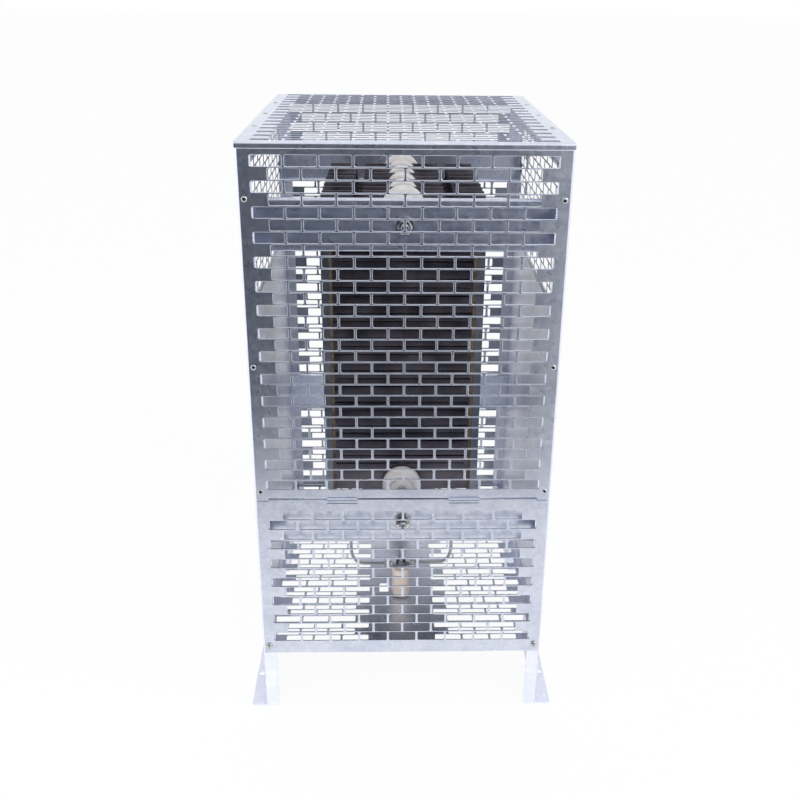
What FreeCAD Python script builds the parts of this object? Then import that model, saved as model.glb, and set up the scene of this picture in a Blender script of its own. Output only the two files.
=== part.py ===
import FreeCAD, Part
import math
import os
import re

import Sketcher

# Free-standing braking resistor: punched steel grids on two insulated tie rods, inside a
# cabinet of galvanised sheet with brick-shaped air slots, standing on four sheet-metal legs.
# Frame: millimetres, +Z up, +Y to the rear, origin on the floor at the middle of the feet.

SIZES = [
    # Cabinet
    ("cabinet_width", 390, "over the two side walls"),
    ("cabinet_depth", 480, "front panel face to rear panel face"),
    ("cabinet_height", 805, "floor to the top cover's upper face"),
    ("panel_sheet", 1.5, "thickness of panels and covers"),
    ("wall_sheet", 2, "thickness of side walls"),
    ("panel_inset", 0.5, "panel edge inside the side wall's outer face"),
    ("seam", 0.3, "gap where two sheets meet edge to edge"),
    ("return_width", 18, "edge folded inwards along each side wall"),
    ("bend_radius", 3.5, "outer radius of the side walls' upright bends"),
    ("leg_height", 97, "floor to the bottom plate"),
    ("leg_depth", 140, "width of each leg along the cabinet's depth"),
    ("leg_chamfer", 12, "cut-off lower corner of each leg's folded edge"),
    ("foot_width", 21, "foot flange outside the side wall"),
    ("foot_corner", 12, "rounded outer corner of a foot"),
    ("foot_hole", 9, "diameter of the floor bolt holes"),
    ("foot_hole_reach", 15, "floor bolt holes outside the side wall's face"),
    ("foot_hole_setback", 70, "floor bolt holes behind the front face, and before the rear face"),
    ("corner_hole", 5, "diameter of the small hole in the right front foot"),
    ("corner_hole_reach", 16, "small hole outside the side wall's face"),
    ("corner_hole_setback", 19, "small hole behind the front face"),
    # Brick-shaped air slots
    ("brick_pitch", 40, "brick to brick along a row"),
    ("row_pitch", 15, "row to row"),
    ("brick_web", 3.6, "metal left between two slots"),
    ("first_row_drop", 21.5, "top face down to the middle of the first row"),
    ("row_margin", 14, "least distance from the side wall's face to a row of slots"),
    # Front panel and terminal cover
    ("top_flange", 7.5, "height of the top cover's folded front and rear edges"),
    ("panel_bottom", 344.2, "lower edge of the front panel"),
    ("panel_corner_bottom", 341, "lower edge of the front panel over the side walls"),
    ("panel_return", 12, "front panel's lower edge folded back"),
    ("front_rows", 29, "rows of bricks in the front panel"),
    ("cover_top", 339.7, "upper edge of the terminal cover"),
    ("cover_bottom", 96.5, "lower edge of the terminal cover"),
    ("cover_first_row", 32, "first row of the cover, counted from the cabinet's top"),
    ("cover_rows", 14, "rows of bricks in the terminal cover"),
    ("cover_play", 0.8, "gap between the cover and the side walls' folded edges"),
    ("cover_lip_width", 260, "folded lip under the cover"),
    ("cover_lip", 12, "how far that lip goes back"),
    ("cover_lip_drop", 1.5, "how far the lip's underside lies below the cover's edge"),
    ("tab_width", 40, "each hook tab of the front panel"),
    ("tab_spacing", 160, "tab to tab"),
    ("tab_bottom", 337.5, "lower edge of the tabs"),
    ("tab_gap", 1.5, "gap between a tab and the cover's face"),
    ("screw_inset", 9, "cover screws inside the side wall's face"),
    ("screw_height", 108, "cover screws above the floor"),
    ("screw_diameter", 5, "cover screw shank"),
    ("screw_hole_play", 0.4, "all round the shank in the cover"),
    ("screw_tap_play", 0.8, "all round the shank in the side wall's folded edge"),
    ("screw_head", 10, "diameter of the cover screw's head"),
    ("screw_head_height", 3, "cover screw's head"),
    ("screw_length", 9, "cover screw's shank behind its head"),
    # Rivets
    ("rivet_head", 6.6, "diameter"),
    ("rivet_height", 1.2, "head above the sheet"),
    ("rivet_inset", 8.5, "rivets inside the side wall's face"),
    ("rivet_top", 739, "highest front rivet"),
    ("rivet_middle", 529, "middle front rivet"),
    ("rivet_low", 353, "lowest rivet of the front panel"),
    ("top_rivet_pitch", 120, "rivets along the top cover's edges"),
    # Side windows and their expanded metal
    ("window_bottom", 588, "lower edge of the side window"),
    ("window_top", 760, "upper edge of the side window"),
    ("window_margin", 45, "cabinet's front or rear face to the side window"),
    ("mesh_overlap", 7, "mesh behind the wall all round the window"),
    ("mesh_sheet", 1.5, "thickness of the expanded metal"),
    # Cross beams
    ("beam_height", 64, "upright web of a cross beam"),
    ("beam_flange", 16, "folded edges of a cross beam"),
    ("beam_sheet", 2, "thickness of a cross beam"),
    ("beam_setback", 18, "cabinet's face to the beam's face"),
    # Tie rods
    ("upper_rod_height", 704, "upper tie rod above the floor"),
    ("lower_rod_height", 297, "lower tie rod above the floor"),
    ("rod_diameter", 10, "tie rod"),
    ("rod_hole_play", 0.5, "all round the rod in beams, nuts and insulators"),
    ("rod_end", 3, "rod past its nut"),
    ("nut_flats", 16, "across the flats of a tie rod nut"),
    ("nut_height", 8, "tie rod nut"),
    ("washer_diameter", 24, "tie rod washer"),
    ("washer_sheet", 2.5, "tie rod washer"),
    # Insulators on the rods
    ("sleeve_diameter", 20, "mica sleeve on the tie rod"),
    ("spool_diameter", 46, "ceramic spool between two grids"),
    ("bell_diameter", 56, "ceramic bell at the packet's ends"),
    ("bell_rim", 12, "bell, length of its rim"),
    ("bell_neck_diameter", 34, "bell, neck towards the beam"),
    ("bell_neck", 12, "bell, length of the neck"),
    # Resistor grids
    ("grid_count", 10, "grids in the packet"),
    ("grid_pitch", 25, "grid to grid"),
    ("grid_sheet", 1.5, "thickness of a grid"),
    ("packet_width", 218, "over the side rails"),
    ("packet_bottom", 287, "lower edge of the grids"),
    ("packet_top", 713, "upper edge of the grids"),
    ("rail_width", 10, "steel rail on each side of a grid"),
    ("rail_sheet", 1.5, "thickness of the rail's folded sheet"),
    ("mica_sheet", 1.2, "mica between grid and rail"),
    ("mica_show", 4.5, "mica that shows beside the rail"),
    ("seat_gap", 0.3, "gap between a grid, or mica, and what holds it"),
    ("side_notch_spacing", 120, "two lifting notches in a grid's upper edge"),
    ("side_notch_width", 12.5, "lifting notch"),
    ("side_notch_depth", 19.5, "lifting notch"),
    ("bar_pitch", 12, "bar to bar of the meander"),
    ("slit", 2, "gap between two bars"),
    ("end_bar", 30, "uncut bar at the grid's upper and lower edge"),
    ("turn_width", 14, "metal left at the turn of the meander"),
    ("link_width", 14, "strap that joins two grids"),
    ("link_height", 3, "strap that joins two grids"),
    ("link_inset", 75, "middle of a strap from the cabinet's middle"),
    ("link_edge", 6, "strap's middle from the grid's edge"),
    # Bottom plate
    ("plate_flange", 15, "bottom plate's folded sides"),
    ("plate_rows", 30, "rows of slots in the bottom plate"),
    ("plate_strip_narrow", 48, "cabinet's middle to the first slot, odd rows"),
    ("plate_strip_wide", 68, "cabinet's middle to the first slot, even rows"),
    ("plate_margin", 6, "least distance from the side wall's face to a slot of the bottom plate"),
    ("cable_hole_width", 14, "cable hole in the bottom plate"),
    ("cable_hole_depth", 22, "cable hole in the bottom plate"),
    ("cable_hole_x", -26, "middle of the cable hole"),
    ("cable_hole_y", -89, "middle of the cable hole"),
    # Connection posts
    ("post_spacing", 214, "front post to rear post"),
    ("post_diameter", 28, "ceramic connection post"),
    ("post_height", 50, "ceramic connection post"),
    ("stud_diameter", 8, "connection stud"),
    ("stud_height", 34, "stud above its post"),
    ("stud_play", 0.2, "all round the stud in lugs, washers and nuts"),
    ("stud_nut_flats", 13, "across the flats"),
    ("stud_nut_height", 6.5, "connection nut"),
    ("stud_washer_diameter", 17, "connection washer"),
    ("stud_washer_sheet", 1.6, "connection washer"),
    ("lug_sheet", 2, "cable lug's flat"),
    ("lug_width", 15, "cable lug's flat"),
    ("lug_reach", 14, "stud to the lug's barrel"),
    ("lug_barrel", 8, "diameter of the lug's barrel"),
    ("lug_barrel_length", 12, "lug's barrel"),
    ("lead_diameter", 5, "bare stranded lead"),
    ("lead_bend", 34, "radius of the lead's bend"),
    ("lead_foot", 75, "lead's upright run from the cabinet's middle"),
]

doc = FreeCAD.newDocument("BrakingResistor")
sheet = doc.addObject("Spreadsheet::Sheet", "Sizes")
for row, (alias, value, note) in enumerate(SIZES, start=1):
    sheet.set(f"A{row}", alias)
    sheet.set(f"B{row}", str(value))
    sheet.set(f"C{row}", note)
    sheet.setAlias(f"B{row}", alias)
doc.recompute()

NAMES = re.compile(r"\b(" + "|".join(alias for alias, value, note in SIZES) + r")\b")


def bound(text):
    """The same formula with every size name pointing at its cell."""
    return NAMES.sub(r"Sizes.\1", str(text))


def value(text):
    """What a formula comes to with the sizes as they are."""
    return float(sheet.evalExpression(bound(text)))


def bind(item, **formulas):
    """Tie properties of a document object to formulas; a double underscore stands for a dot."""
    for name, text in formulas.items():
        item.setExpression(name.replace("__", "."), bound(text))


def move(item, x="0", y="0", z="0"):
    bind(item, Placement__Base__x=x, Placement__Base__y=y, Placement__Base__z=z)
    return item


# Sketch-based bodies

def new_body(label):
    body = doc.addObject("PartDesign::Body", label)
    body.Label = label
    return body


def origin_plane(body, role):
    return next(item for item in body.Origin.OriginFeatures if item.Role == role)


def new_sketch(body, role, offset="0"):
    sketch = body.newObject("Sketcher::SketchObject", f"{body.Name}Sketch")
    sketch.AttachmentSupport = [(origin_plane(body, role), "")]
    sketch.MapMode = "FlatFace"
    bind(sketch, AttachmentOffset__Base__z=offset)
    return sketch


def pin_point(sketch, edge, end, x, y):
    """Hold one point of a sketch at two formulas measured from the sketch's origin."""
    for kind, text in (("DistanceX", x), ("DistanceY", y)):
        rule = sketch.addConstraint(Sketcher.Constraint(kind, -1, 1, edge, end, value(text)))
        sketch.setExpression(f"Constraints[{rule}]", bound(text))


def outline(sketch, corners):
    """A closed outline of straight lines through corners given as pairs of formulas."""
    points = [FreeCAD.Vector(value(x), value(y), 0) for x, y in corners]
    first = sketch.GeometryCount
    for start, end in zip(points, points[1:] + points[:1]):
        sketch.addGeometry(Part.LineSegment(start, end))
    for index in range(len(corners)):
        follower = first + (index + 1) % len(corners)
        sketch.addConstraint(Sketcher.Constraint("Coincident", first + index, 2, follower, 1))
    for index, (x, y) in enumerate(corners):
        pin_point(sketch, first + index, 1, x, y)


def rectangle(sketch, left, bottom, right, top):
    outline(sketch, [(left, bottom), (right, bottom), (right, top), (left, top)])


def circle(sketch, x, y, diameter):
    centre = FreeCAD.Vector(value(x), value(y), 0)
    edge = sketch.addGeometry(Part.Circle(centre, FreeCAD.Vector(0, 0, 1), value(diameter) / 2))
    pin_point(sketch, edge, 3, x, y)
    rule = sketch.addConstraint(Sketcher.Constraint("Diameter", edge, value(diameter)))
    sketch.setExpression(f"Constraints[{rule}]", bound(diameter))


def polygon_hole(sketch, x, y, across, sides=8):
    """A many-sided hole that clears a round shank of the given diameter."""
    radius = f"({across}) / 2 / cos({180 / sides})"
    turns = [360 * (index + 0.5) / sides for index in range(sides)]
    outline(sketch, [(f"{x} + {radius} * cos({turn})", f"{y} + {radius} * sin({turn})") for turn in turns])


def pad(body, sketch, length, both_ways=False):
    feature = body.newObject("PartDesign::Pad", f"{body.Name}Pad")
    feature.Profile = sketch
    feature.Midplane = both_ways
    bind(feature, Length=length)
    doc.recompute()
    return feature


def punch(body, sketch):
    """Cut a sketch right through the body, on both sides of its plane."""
    before = body.Shape.Volume
    feature = body.newObject("PartDesign::Pocket", f"{body.Name}Punch")
    feature.Profile = sketch
    feature.Type = "ThroughAll"
    feature.Midplane = True
    doc.recompute()
    if feature.Shape.Volume > before - 0.1:
        raise ValueError(f"a punch in {body.Label} cuts nothing")
    return feature


def repeat(body, feature, sketch, columns="1", across="1", rows="1", along="1"):
    """Repeat a feature along the sketch's two axes, upwards and to the right."""
    pattern = body.newObject("PartDesign::LinearPattern", f"{body.Name}Pattern")
    pattern.Originals = [feature]
    pattern.Direction = (sketch, ["H_Axis"])
    pattern.Direction2 = (sketch, ["V_Axis"])
    pattern.Mode = pattern.Mode2 = "Spacing"
    bind(pattern, Offset=across, Occurrences=columns, Offset2=along, Occurrences2=rows)
    body.Tip = pattern
    doc.recompute()
    return pattern


def bend(body, radius, *places):
    """Round the straight edges that run through the given points."""
    base = body.Tip
    edges = []
    for x, y, z in places:
        point = Part.Vertex(value(x), value(y), value(z))
        distances = [edge.distToShape(point)[0] for edge in base.Shape.Edges]
        edges.append(f"Edge{distances.index(min(distances)) + 1}")
    feature = body.newObject("PartDesign::Fillet", f"{body.Name}Bend")
    feature.Base = (base, edges)
    bind(feature, Radius=radius)
    doc.recompute()
    return feature


def brick_rows(body, role, bricks, low_row, rows):
    """Punch every second row of bricks, from the lowest row upwards."""
    sketch = new_sketch(body, role)
    left = f"-({bricks}) / 2 * brick_pitch + brick_web / 2"
    half = "(row_pitch - brick_web) / 2"
    rectangle(sketch, left, f"{low_row} - {half}", f"{left} + brick_pitch - brick_web", f"{low_row} + {half}")
    cut = punch(body, sketch)
    repeat(body, cut, sketch, bricks, "brick_pitch", rows, "2 * row_pitch")


def slot_rows(body, role, bricks, low_row, rows):
    """Punch every second row as one long slot, where the bricks are drawn elsewhere."""
    sketch = new_sketch(body, role)
    reach = f"({bricks}) / 2 * brick_pitch - brick_web / 2"
    half = "(row_pitch - brick_web) / 2"
    rectangle(sketch, f"-({reach})", f"{low_row} - {half}", reach, f"{low_row} + {half}")
    cut = punch(body, sketch)
    repeat(body, cut, sketch, "1", "1", rows, "2 * row_pitch")


def row_height(number):
    return f"(cabinet_height - first_row_drop - ({number} - 1) * row_pitch)"


# Primitive-based pieces

RIM_SIDES = 16
BORE_SIDES = 8
AXIS_TURN = {
    "X": FreeCAD.Rotation(FreeCAD.Vector(0, 1, 0), 90),
    "Y": FreeCAD.Rotation(FreeCAD.Vector(1, 0, 0), -90),
    "Z": FreeCAD.Rotation(),
}


def cylinder(name, diameter, length, x, y, z, axis="Y"):
    """A cylinder that starts at a point and runs along one axis."""
    item = doc.addObject("Part::Cylinder", name)
    item.Placement.Rotation = AXIS_TURN[axis]
    bind(item, Radius=f"({diameter}) / 2", Height=length)
    return move(item, x, y, z)


def prism(name, sides, corners, length, x, y, z, axis="Y"):
    """A many-sided bar, measured across its corners, for the small round pieces that repeat."""
    item = doc.addObject("Part::Prism", name)
    item.Polygon = sides
    item.Placement.Rotation = AXIS_TURN[axis]
    bind(item, Circumradius=f"({corners}) / 2", Height=length)
    return move(item, x, y, z)


def across_flats(sides, flats):
    """The width across corners of a polygon whose flats are this far apart."""
    return f"({flats}) / cos({180 / sides})"


def block(name, low, high):
    """A box between two corners, each given as three formulas."""
    item = doc.addObject("Part::Box", name)
    length, width, height = (f"({end}) - ({start})" for start, end in zip(low, high))
    bind(item, Length=length, Width=width, Height=height)
    return move(item, *low)


def cut(name, base, tool):
    item = doc.addObject("Part::Cut", name)
    item.Base = base
    item.Tool = tool
    return item


def bore_through(name, outer, bore, length, x, y, z, axis):
    corners = across_flats(BORE_SIDES, bore)
    return cut(name, outer, prism(f"{name}Bore", BORE_SIDES, corners, length, x, y, z, axis))


def ring(name, diameter, bore, length, x, y, z, axis="Y"):
    outer = prism(f"{name}Outer", RIM_SIDES, diameter, length, x, y, z, axis)
    return bore_through(name, outer, bore, length, x, y, z, axis)


def nut(name, flats, bore, length, x, y, z, axis="Y"):
    outer = prism(f"{name}Outer", 6, across_flats(6, flats), length, x, y, z, axis)
    return bore_through(name, outer, bore, length, x, y, z, axis)


def fuse(name, items):
    item = doc.addObject("Part::MultiFuse", name)
    item.Shapes = items
    return item


def group(label, items):
    """One node made of separate, alike pieces."""
    item = doc.addObject("Part::Compound", label)
    item.Label = label
    item.Links = items
    return item


# Sheet-metal cabinet

LEFT, RIGHT = -1, 1
FRONT, REAR = -1, 1
ROD_BORE = "(rod_diameter + 2 * rod_hole_play)"
PANEL_TOP = "(cabinet_height - top_flange - seam)"
PANEL_EDGE = "(cabinet_width / 2 - panel_inset)"
INNER_EDGE = "(cabinet_width / 2 - return_width)"
WALL_DEPTH = "(cabinet_depth / 2 - panel_sheet)"
COVER_BACK = "(cabinet_depth / 2 - panel_sheet + cover_play)"
COVER_FACE = "(cabinet_depth / 2 + cover_play)"
LONG_ROW = "floor((cabinet_width - 2 * row_margin) / brick_pitch)"
SHORT_ROW = f"({LONG_ROW} - 1)"
SCREW_X = "(cabinet_width / 2 - screw_inset)"
WINDOW_HALF = "(cabinet_depth / 2 - window_margin)"


def front_panel():
    """Upper front panel: bricks, a lower edge folded back, and two hook tabs for the cover."""
    body = new_body("front_panel")
    face = new_sketch(body, "XZ_Plane", WALL_DEPTH)
    outline(face, [
        (f"-{PANEL_EDGE}", "panel_corner_bottom"), (f"-{INNER_EDGE}", "panel_corner_bottom"),
        (f"-{INNER_EDGE}", "panel_bottom"), (INNER_EDGE, "panel_bottom"),
        (INNER_EDGE, "panel_corner_bottom"), (PANEL_EDGE, "panel_corner_bottom"),
        (PANEL_EDGE, PANEL_TOP), (f"-{PANEL_EDGE}", PANEL_TOP),
    ])
    pad(body, face, "panel_sheet")
    fold = new_sketch(body, "YZ_Plane")
    back = f"(-{WALL_DEPTH})"
    rectangle(fold, back, "panel_bottom", f"{back} + panel_return", "panel_bottom + panel_sheet")
    pad(body, fold, f"2 * {INNER_EDGE}", both_ways=True)
    tab_back = f"(-{COVER_FACE} - tab_gap)"
    for side in (LEFT, RIGHT):
        tab = new_sketch(body, "YZ_Plane", f"{side} * tab_spacing / 2")
        outline(tab, [
            (back, "panel_bottom"), (tab_back, "panel_bottom - tab_gap"), (tab_back, "tab_bottom"),
            (f"{tab_back} - panel_sheet", "tab_bottom"),
            (f"{tab_back} - panel_sheet", "panel_bottom - tab_gap + panel_sheet / 2"),
            (f"{back} - panel_sheet", "panel_bottom + panel_sheet"), (back, "panel_bottom + panel_sheet"),
        ])
        pad(body, tab, "tab_width", both_ways=True)
    brick_rows(body, "XZ_Plane", LONG_ROW, row_height("front_rows"), "ceil(front_rows / 2)")
    brick_rows(body, "XZ_Plane", SHORT_ROW, row_height("front_rows - 1"), "floor(front_rows / 2)")
    return body


def terminal_cover():
    """Lower front cover: bricks, two screw holes and a lip that reaches under the bottom plate."""
    body = new_body("terminal_cover")
    face = new_sketch(body, "XZ_Plane", COVER_BACK)
    rectangle(face, f"-{PANEL_EDGE}", "cover_bottom", PANEL_EDGE, "cover_top")
    pad(body, face, "panel_sheet")
    lip = new_sketch(body, "YZ_Plane")
    low = "(cover_bottom - cover_lip_drop)"
    outline(lip, [
        (f"-{COVER_FACE}", "cover_bottom"), (f"-{COVER_FACE}", low), (f"-{COVER_BACK} + cover_lip", low),
        (f"-{COVER_BACK} + cover_lip", f"{low} + panel_sheet"), (f"-{COVER_BACK}", f"{low} + panel_sheet"),
        (f"-{COVER_BACK}", f"{low} + 2 * panel_sheet"), (f"-{COVER_FACE}", f"{low} + 2 * panel_sheet"),
    ])
    pad(body, lip, "cover_lip_width", both_ways=True)
    holes = new_sketch(body, "XZ_Plane")
    for side in (LEFT, RIGHT):
        across = "screw_diameter + 2 * screw_hole_play"
        polygon_hole(holes, f"{side} * {SCREW_X}", "screw_height", across)
    punch(body, holes)
    last = "cover_first_row + cover_rows - 1"
    slot_rows(body, "XZ_Plane", LONG_ROW, row_height(last), "floor(cover_rows / 2)")
    slot_rows(body, "XZ_Plane", SHORT_ROW, row_height(f"{last} - 1"), "ceil(cover_rows / 2)")
    return body


def top_cover():
    """Top cover with narrow front and rear edges folded down in the plane of the panels."""
    body = new_body("top_cover")
    plate = new_sketch(body, "XY_Plane", "cabinet_height - panel_sheet")
    rectangle(plate, "-cabinet_width / 2", "-cabinet_depth / 2", "cabinet_width / 2", "cabinet_depth / 2")
    pad(body, plate, "panel_sheet")
    for end in (FRONT, REAR):
        fold = new_sketch(body, "XY_Plane", "cabinet_height - top_flange")
        inner, outer = sorted((f"{end} * {WALL_DEPTH}", f"{end} * cabinet_depth / 2"), key=value)
        rectangle(fold, "-cabinet_width / 2", inner, "cabinet_width / 2", outer)
        pad(body, fold, "top_flange")
    rows = "(floor(cabinet_depth / row_pitch) - 1)"
    slot_rows(body, "XY_Plane", LONG_ROW, f"-({rows} - 1) / 2 * row_pitch", f"ceil({rows} / 2)")
    slot_rows(body, "XY_Plane", SHORT_ROW, f"-({rows} - 3) / 2 * row_pitch", f"floor({rows} / 2)")
    return body


def rear_panel():
    """One rear panel from the top cover down to the bottom plate."""
    body = new_body("rear_panel")
    face = new_sketch(body, "XZ_Plane", "-cabinet_depth / 2")
    rectangle(face, f"-{PANEL_EDGE}", "cover_bottom", PANEL_EDGE, PANEL_TOP)
    pad(body, face, "panel_sheet")
    rows = "(cover_first_row + cover_rows - 1)"
    slot_rows(body, "XZ_Plane", LONG_ROW, row_height(rows), f"ceil({rows} / 2)")
    slot_rows(body, "XZ_Plane", SHORT_ROW, row_height(f"{rows} - 1"), f"floor({rows} / 2)")
    return body


def bottom_plate():
    """Bottom plate with a closed strip down its middle and slots on both sides of it."""
    body = new_body("bottom_plate")
    half_width = "(cabinet_width / 2 - wall_sheet)"
    half_depth = f"({WALL_DEPTH} - wall_sheet)"
    plate = new_sketch(body, "XY_Plane", "leg_height")
    rectangle(plate, f"-{half_width}", f"-{half_depth}", half_width, half_depth)
    pad(body, plate, "panel_sheet")
    for side in (LEFT, RIGHT):
        fold = new_sketch(body, "XY_Plane", "leg_height")
        left, right = sorted((f"{side} * {half_width}", f"{side} * ({half_width} - panel_sheet)"), key=value)
        rectangle(fold, left, f"-{half_depth}", right, half_depth)
        pad(body, fold, "plate_flange")
    hole = new_sketch(body, "XY_Plane")
    rectangle(
        hole, "cable_hole_x - cable_hole_width / 2", "cable_hole_y - cable_hole_depth / 2",
        "cable_hole_x + cable_hole_width / 2", "cable_hole_y + cable_hole_depth / 2",
    )
    punch(body, hole)
    for first, strip in ((0, "plate_strip_narrow"), (1, "plate_strip_wide")):
        row = f"(({first} - (plate_rows - 1) / 2) * row_pitch)"
        bricks = f"floor((cabinet_width / 2 - {strip} - plate_margin) / brick_pitch)"
        reach = f"({bricks} * brick_pitch - brick_web)"
        for side in (LEFT, RIGHT):
            slot = new_sketch(body, "XY_Plane")
            left, right = sorted((f"{side} * {strip}", f"{side} * ({strip} + {reach})"), key=value)
            half = "(row_pitch - brick_web) / 2"
            rectangle(slot, left, f"{row} - {half}", right, f"{row} + {half}")
            opening = punch(body, slot)
            repeat(body, opening, slot, "1", "1", "floor(plate_rows / 2)", "2 * row_pitch")
    return body


def side_wall(label, side):
    """Side wall bent from one sheet: folded edges, window, two legs and their foot flanges."""
    body = new_body(label)
    outer, inner = f"({side} * cabinet_width / 2)", f"({side} * (cabinet_width / 2 - wall_sheet))"
    edge = f"({side} * {INNER_EDGE})"
    depth = WALL_DEPTH
    section = new_sketch(body, "XY_Plane")
    outline(section, [
        (outer, f"-{depth}"), (outer, depth), (edge, depth), (edge, f"{depth} - wall_sheet"),
        (inner, f"{depth} - wall_sheet"), (inner, f"-{depth} + wall_sheet"),
        (edge, f"-{depth} + wall_sheet"), (edge, f"-{depth}"),
    ])
    pad(body, section, "cabinet_height - panel_sheet")
    top = new_sketch(body, "XY_Plane", "cabinet_height - panel_sheet - wall_sheet")
    left, right = sorted((outer, edge), key=value)
    rectangle(top, left, f"-{depth}", right, depth)
    pad(body, top, "wall_sheet")
    leg = f"({depth} - leg_depth)"
    openings = new_sketch(body, "YZ_Plane")
    rectangle(openings, f"-{leg}", "-1 * wall_sheet", leg, "leg_height")
    rectangle(openings, f"-{WINDOW_HALF}", "window_bottom", WINDOW_HALF, "window_top")
    punch(body, openings)
    corner = new_sketch(body, "XZ_Plane")
    outline(corner, [(edge, "0"), (f"{edge} + {side} * leg_chamfer", "0"), (edge, "leg_chamfer")])
    punch(body, corner)
    ends = [f"{end} * {depth}" for end in (FRONT, REAR)]
    bend(body, "bend_radius", *((outer, y, "cabinet_height / 2") for y in ends))
    foot_edge = f"({side} * (cabinet_width / 2 + foot_width))"
    for end in (FRONT, REAR):
        foot = new_sketch(body, "XY_Plane")
        near, far = sorted((f"{end} * {leg}", f"{end} * {depth}"), key=value)
        left, right = sorted((inner, foot_edge), key=value)
        rectangle(foot, left, near, right, far)
        pad(body, foot, "wall_sheet")
    bend(body, "foot_corner", *((foot_edge, y, "wall_sheet / 2") for y in ends))
    holes = new_sketch(body, "XY_Plane")
    across = f"{side} * (cabinet_width / 2 + foot_hole_reach)"
    for end in (FRONT, REAR):
        circle(holes, across, f"{end} * (cabinet_depth / 2 - foot_hole_setback)", "foot_hole")
    if side == RIGHT:
        place = "-(cabinet_depth / 2 - corner_hole_setback)"
        polygon_hole(holes, "cabinet_width / 2 + corner_hole_reach", place, "corner_hole")
    punch(body, holes)
    taps = new_sketch(body, "XZ_Plane", "cabinet_depth / 2")
    middle, half = f"{side} * {SCREW_X}", "(screw_diameter / 2 + screw_tap_play)"
    low, high = f"screw_height - {half}", f"screw_height + {half}"
    rectangle(taps, f"{middle} - {half}", low, f"{middle} + {half}", high)
    hole = body.newObject("PartDesign::Pocket", f"{body.Name}Tap")
    hole.Profile = taps
    bind(hole, Length="panel_sheet + 2 * wall_sheet")
    doc.recompute()
    return body


def side_mesh(label, side):
    """Expanded metal behind a side window, as a flat sheet of its size."""
    face = "(cabinet_width / 2 - wall_sheet)"
    left, right = sorted((f"{side} * {face}", f"{side} * ({face} - mesh_sheet)"), key=value)
    half = f"({WINDOW_HALF} + mesh_overlap)"
    low, high = "window_bottom - mesh_overlap", "window_top + mesh_overlap"
    item = block(label, (left, f"-{half}", low), (right, half, high))
    item.Label = label
    return item


def cross_beam(label, end, height):
    """Channel from wall to wall that holds one end of a tie rod, web outwards."""
    body = new_body(label)
    face = f"({end} * (cabinet_depth / 2 - beam_setback))"
    web = f"({face} - {end} * beam_sheet)"
    lip = f"({face} - {end} * beam_flange)"
    low, high = f"({height} - beam_height / 2)", f"({height} + beam_height / 2)"
    section = new_sketch(body, "YZ_Plane")
    outline(section, [
        (face, low), (face, high), (lip, high), (lip, f"{high} - beam_sheet"), (web, f"{high} - beam_sheet"),
        (web, f"{low} + beam_sheet"), (lip, f"{low} + beam_sheet"), (lip, low),
    ])
    pad(body, section, "cabinet_width - 2 * wall_sheet", both_ways=True)
    hole = new_sketch(body, "XZ_Plane")
    polygon_hole(hole, "0", height, ROD_BORE)
    punch(body, hole)
    return body


# Tie rods and their insulators

BEAM_FACE = "(cabinet_depth / 2 - beam_setback)"
ROD_REACH = f"({BEAM_FACE} + washer_sheet + nut_height + rod_end)"
PACKET_HALF = "((grid_count - 1) / 2 * grid_pitch + grid_sheet / 2)"
BELL_SEAT = f"({PACKET_HALF} + seat_gap)"
BELL_END = f"({BELL_SEAT} + bell_rim + bell_neck)"
RODS = {"upper": "upper_rod_height", "lower": "lower_rod_height"}


def start_of(end, near, length):
    """Lowest place of a piece that begins at a distance from the middle, in front or behind."""
    return near if end == REAR else f"-({near}) - ({length})"


def tie_rod(level):
    item = cylinder(f"{level}_tie_rod", "rod_diameter", f"2 * {ROD_REACH}", "0", f"-{ROD_REACH}", RODS[level])
    item.Label = f"{level}_tie_rod"
    return item


def rod_sleeve(level):
    name = f"{level}_rod_sleeve"
    item = ring(name, "sleeve_diameter", ROD_BORE, f"2 * {PACKET_HALF}", "0", f"-{PACKET_HALF}", RODS[level])
    item.Label = name
    return item


def rod_hardware():
    """Washers and nuts outside the beams, and the nuts that clamp the bells."""
    washers, beam_nuts, bell_nuts = [], [], []
    for level, height in RODS.items():
        for end in (FRONT, REAR):
            tag = f"{level}{'Front' if end == FRONT else 'Rear'}"
            y = start_of(end, BEAM_FACE, "washer_sheet")
            washers.append(ring(f"{tag}Washer", "washer_diameter", ROD_BORE, "washer_sheet", "0", y, height))
            y = start_of(end, f"{BEAM_FACE} + washer_sheet", "nut_height")
            beam_nuts.append(nut(f"{tag}BeamNut", "nut_flats", ROD_BORE, "nut_height", "0", y, height))
            y = start_of(end, BELL_END, "nut_height")
            bell_nuts.append(nut(f"{tag}BellNut", "nut_flats", ROD_BORE, "nut_height", "0", y, height))
    return [
        group("tie_rod_washers", washers),
        group("tie_rod_nuts", beam_nuts),
        group("bell_clamp_nuts", bell_nuts),
    ]


def bell_insulator(level, end):
    """Stepped ceramic bell between the packet's end grid and its clamp nut."""
    label = f"{level}_{'front' if end == FRONT else 'rear'}_bell_insulator"
    height = RODS[level]
    y = start_of(end, BELL_SEAT, "bell_rim")
    rim = prism(f"{label}_rim", RIM_SIDES, "bell_diameter", "bell_rim", "0", y, height)
    y = start_of(end, f"{BELL_SEAT} + bell_rim", "bell_neck")
    neck = prism(f"{label}_neck", RIM_SIDES, "bell_neck_diameter", "bell_neck", "0", y, height)
    form = fuse(f"{label}_form", [rim, neck])
    length = f"({BELL_END} - {BELL_SEAT})"
    item = bore_through(label, form, ROD_BORE, length, "0", start_of(end, BELL_SEAT, length), height, "Y")
    item.Label = label
    return item


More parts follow.
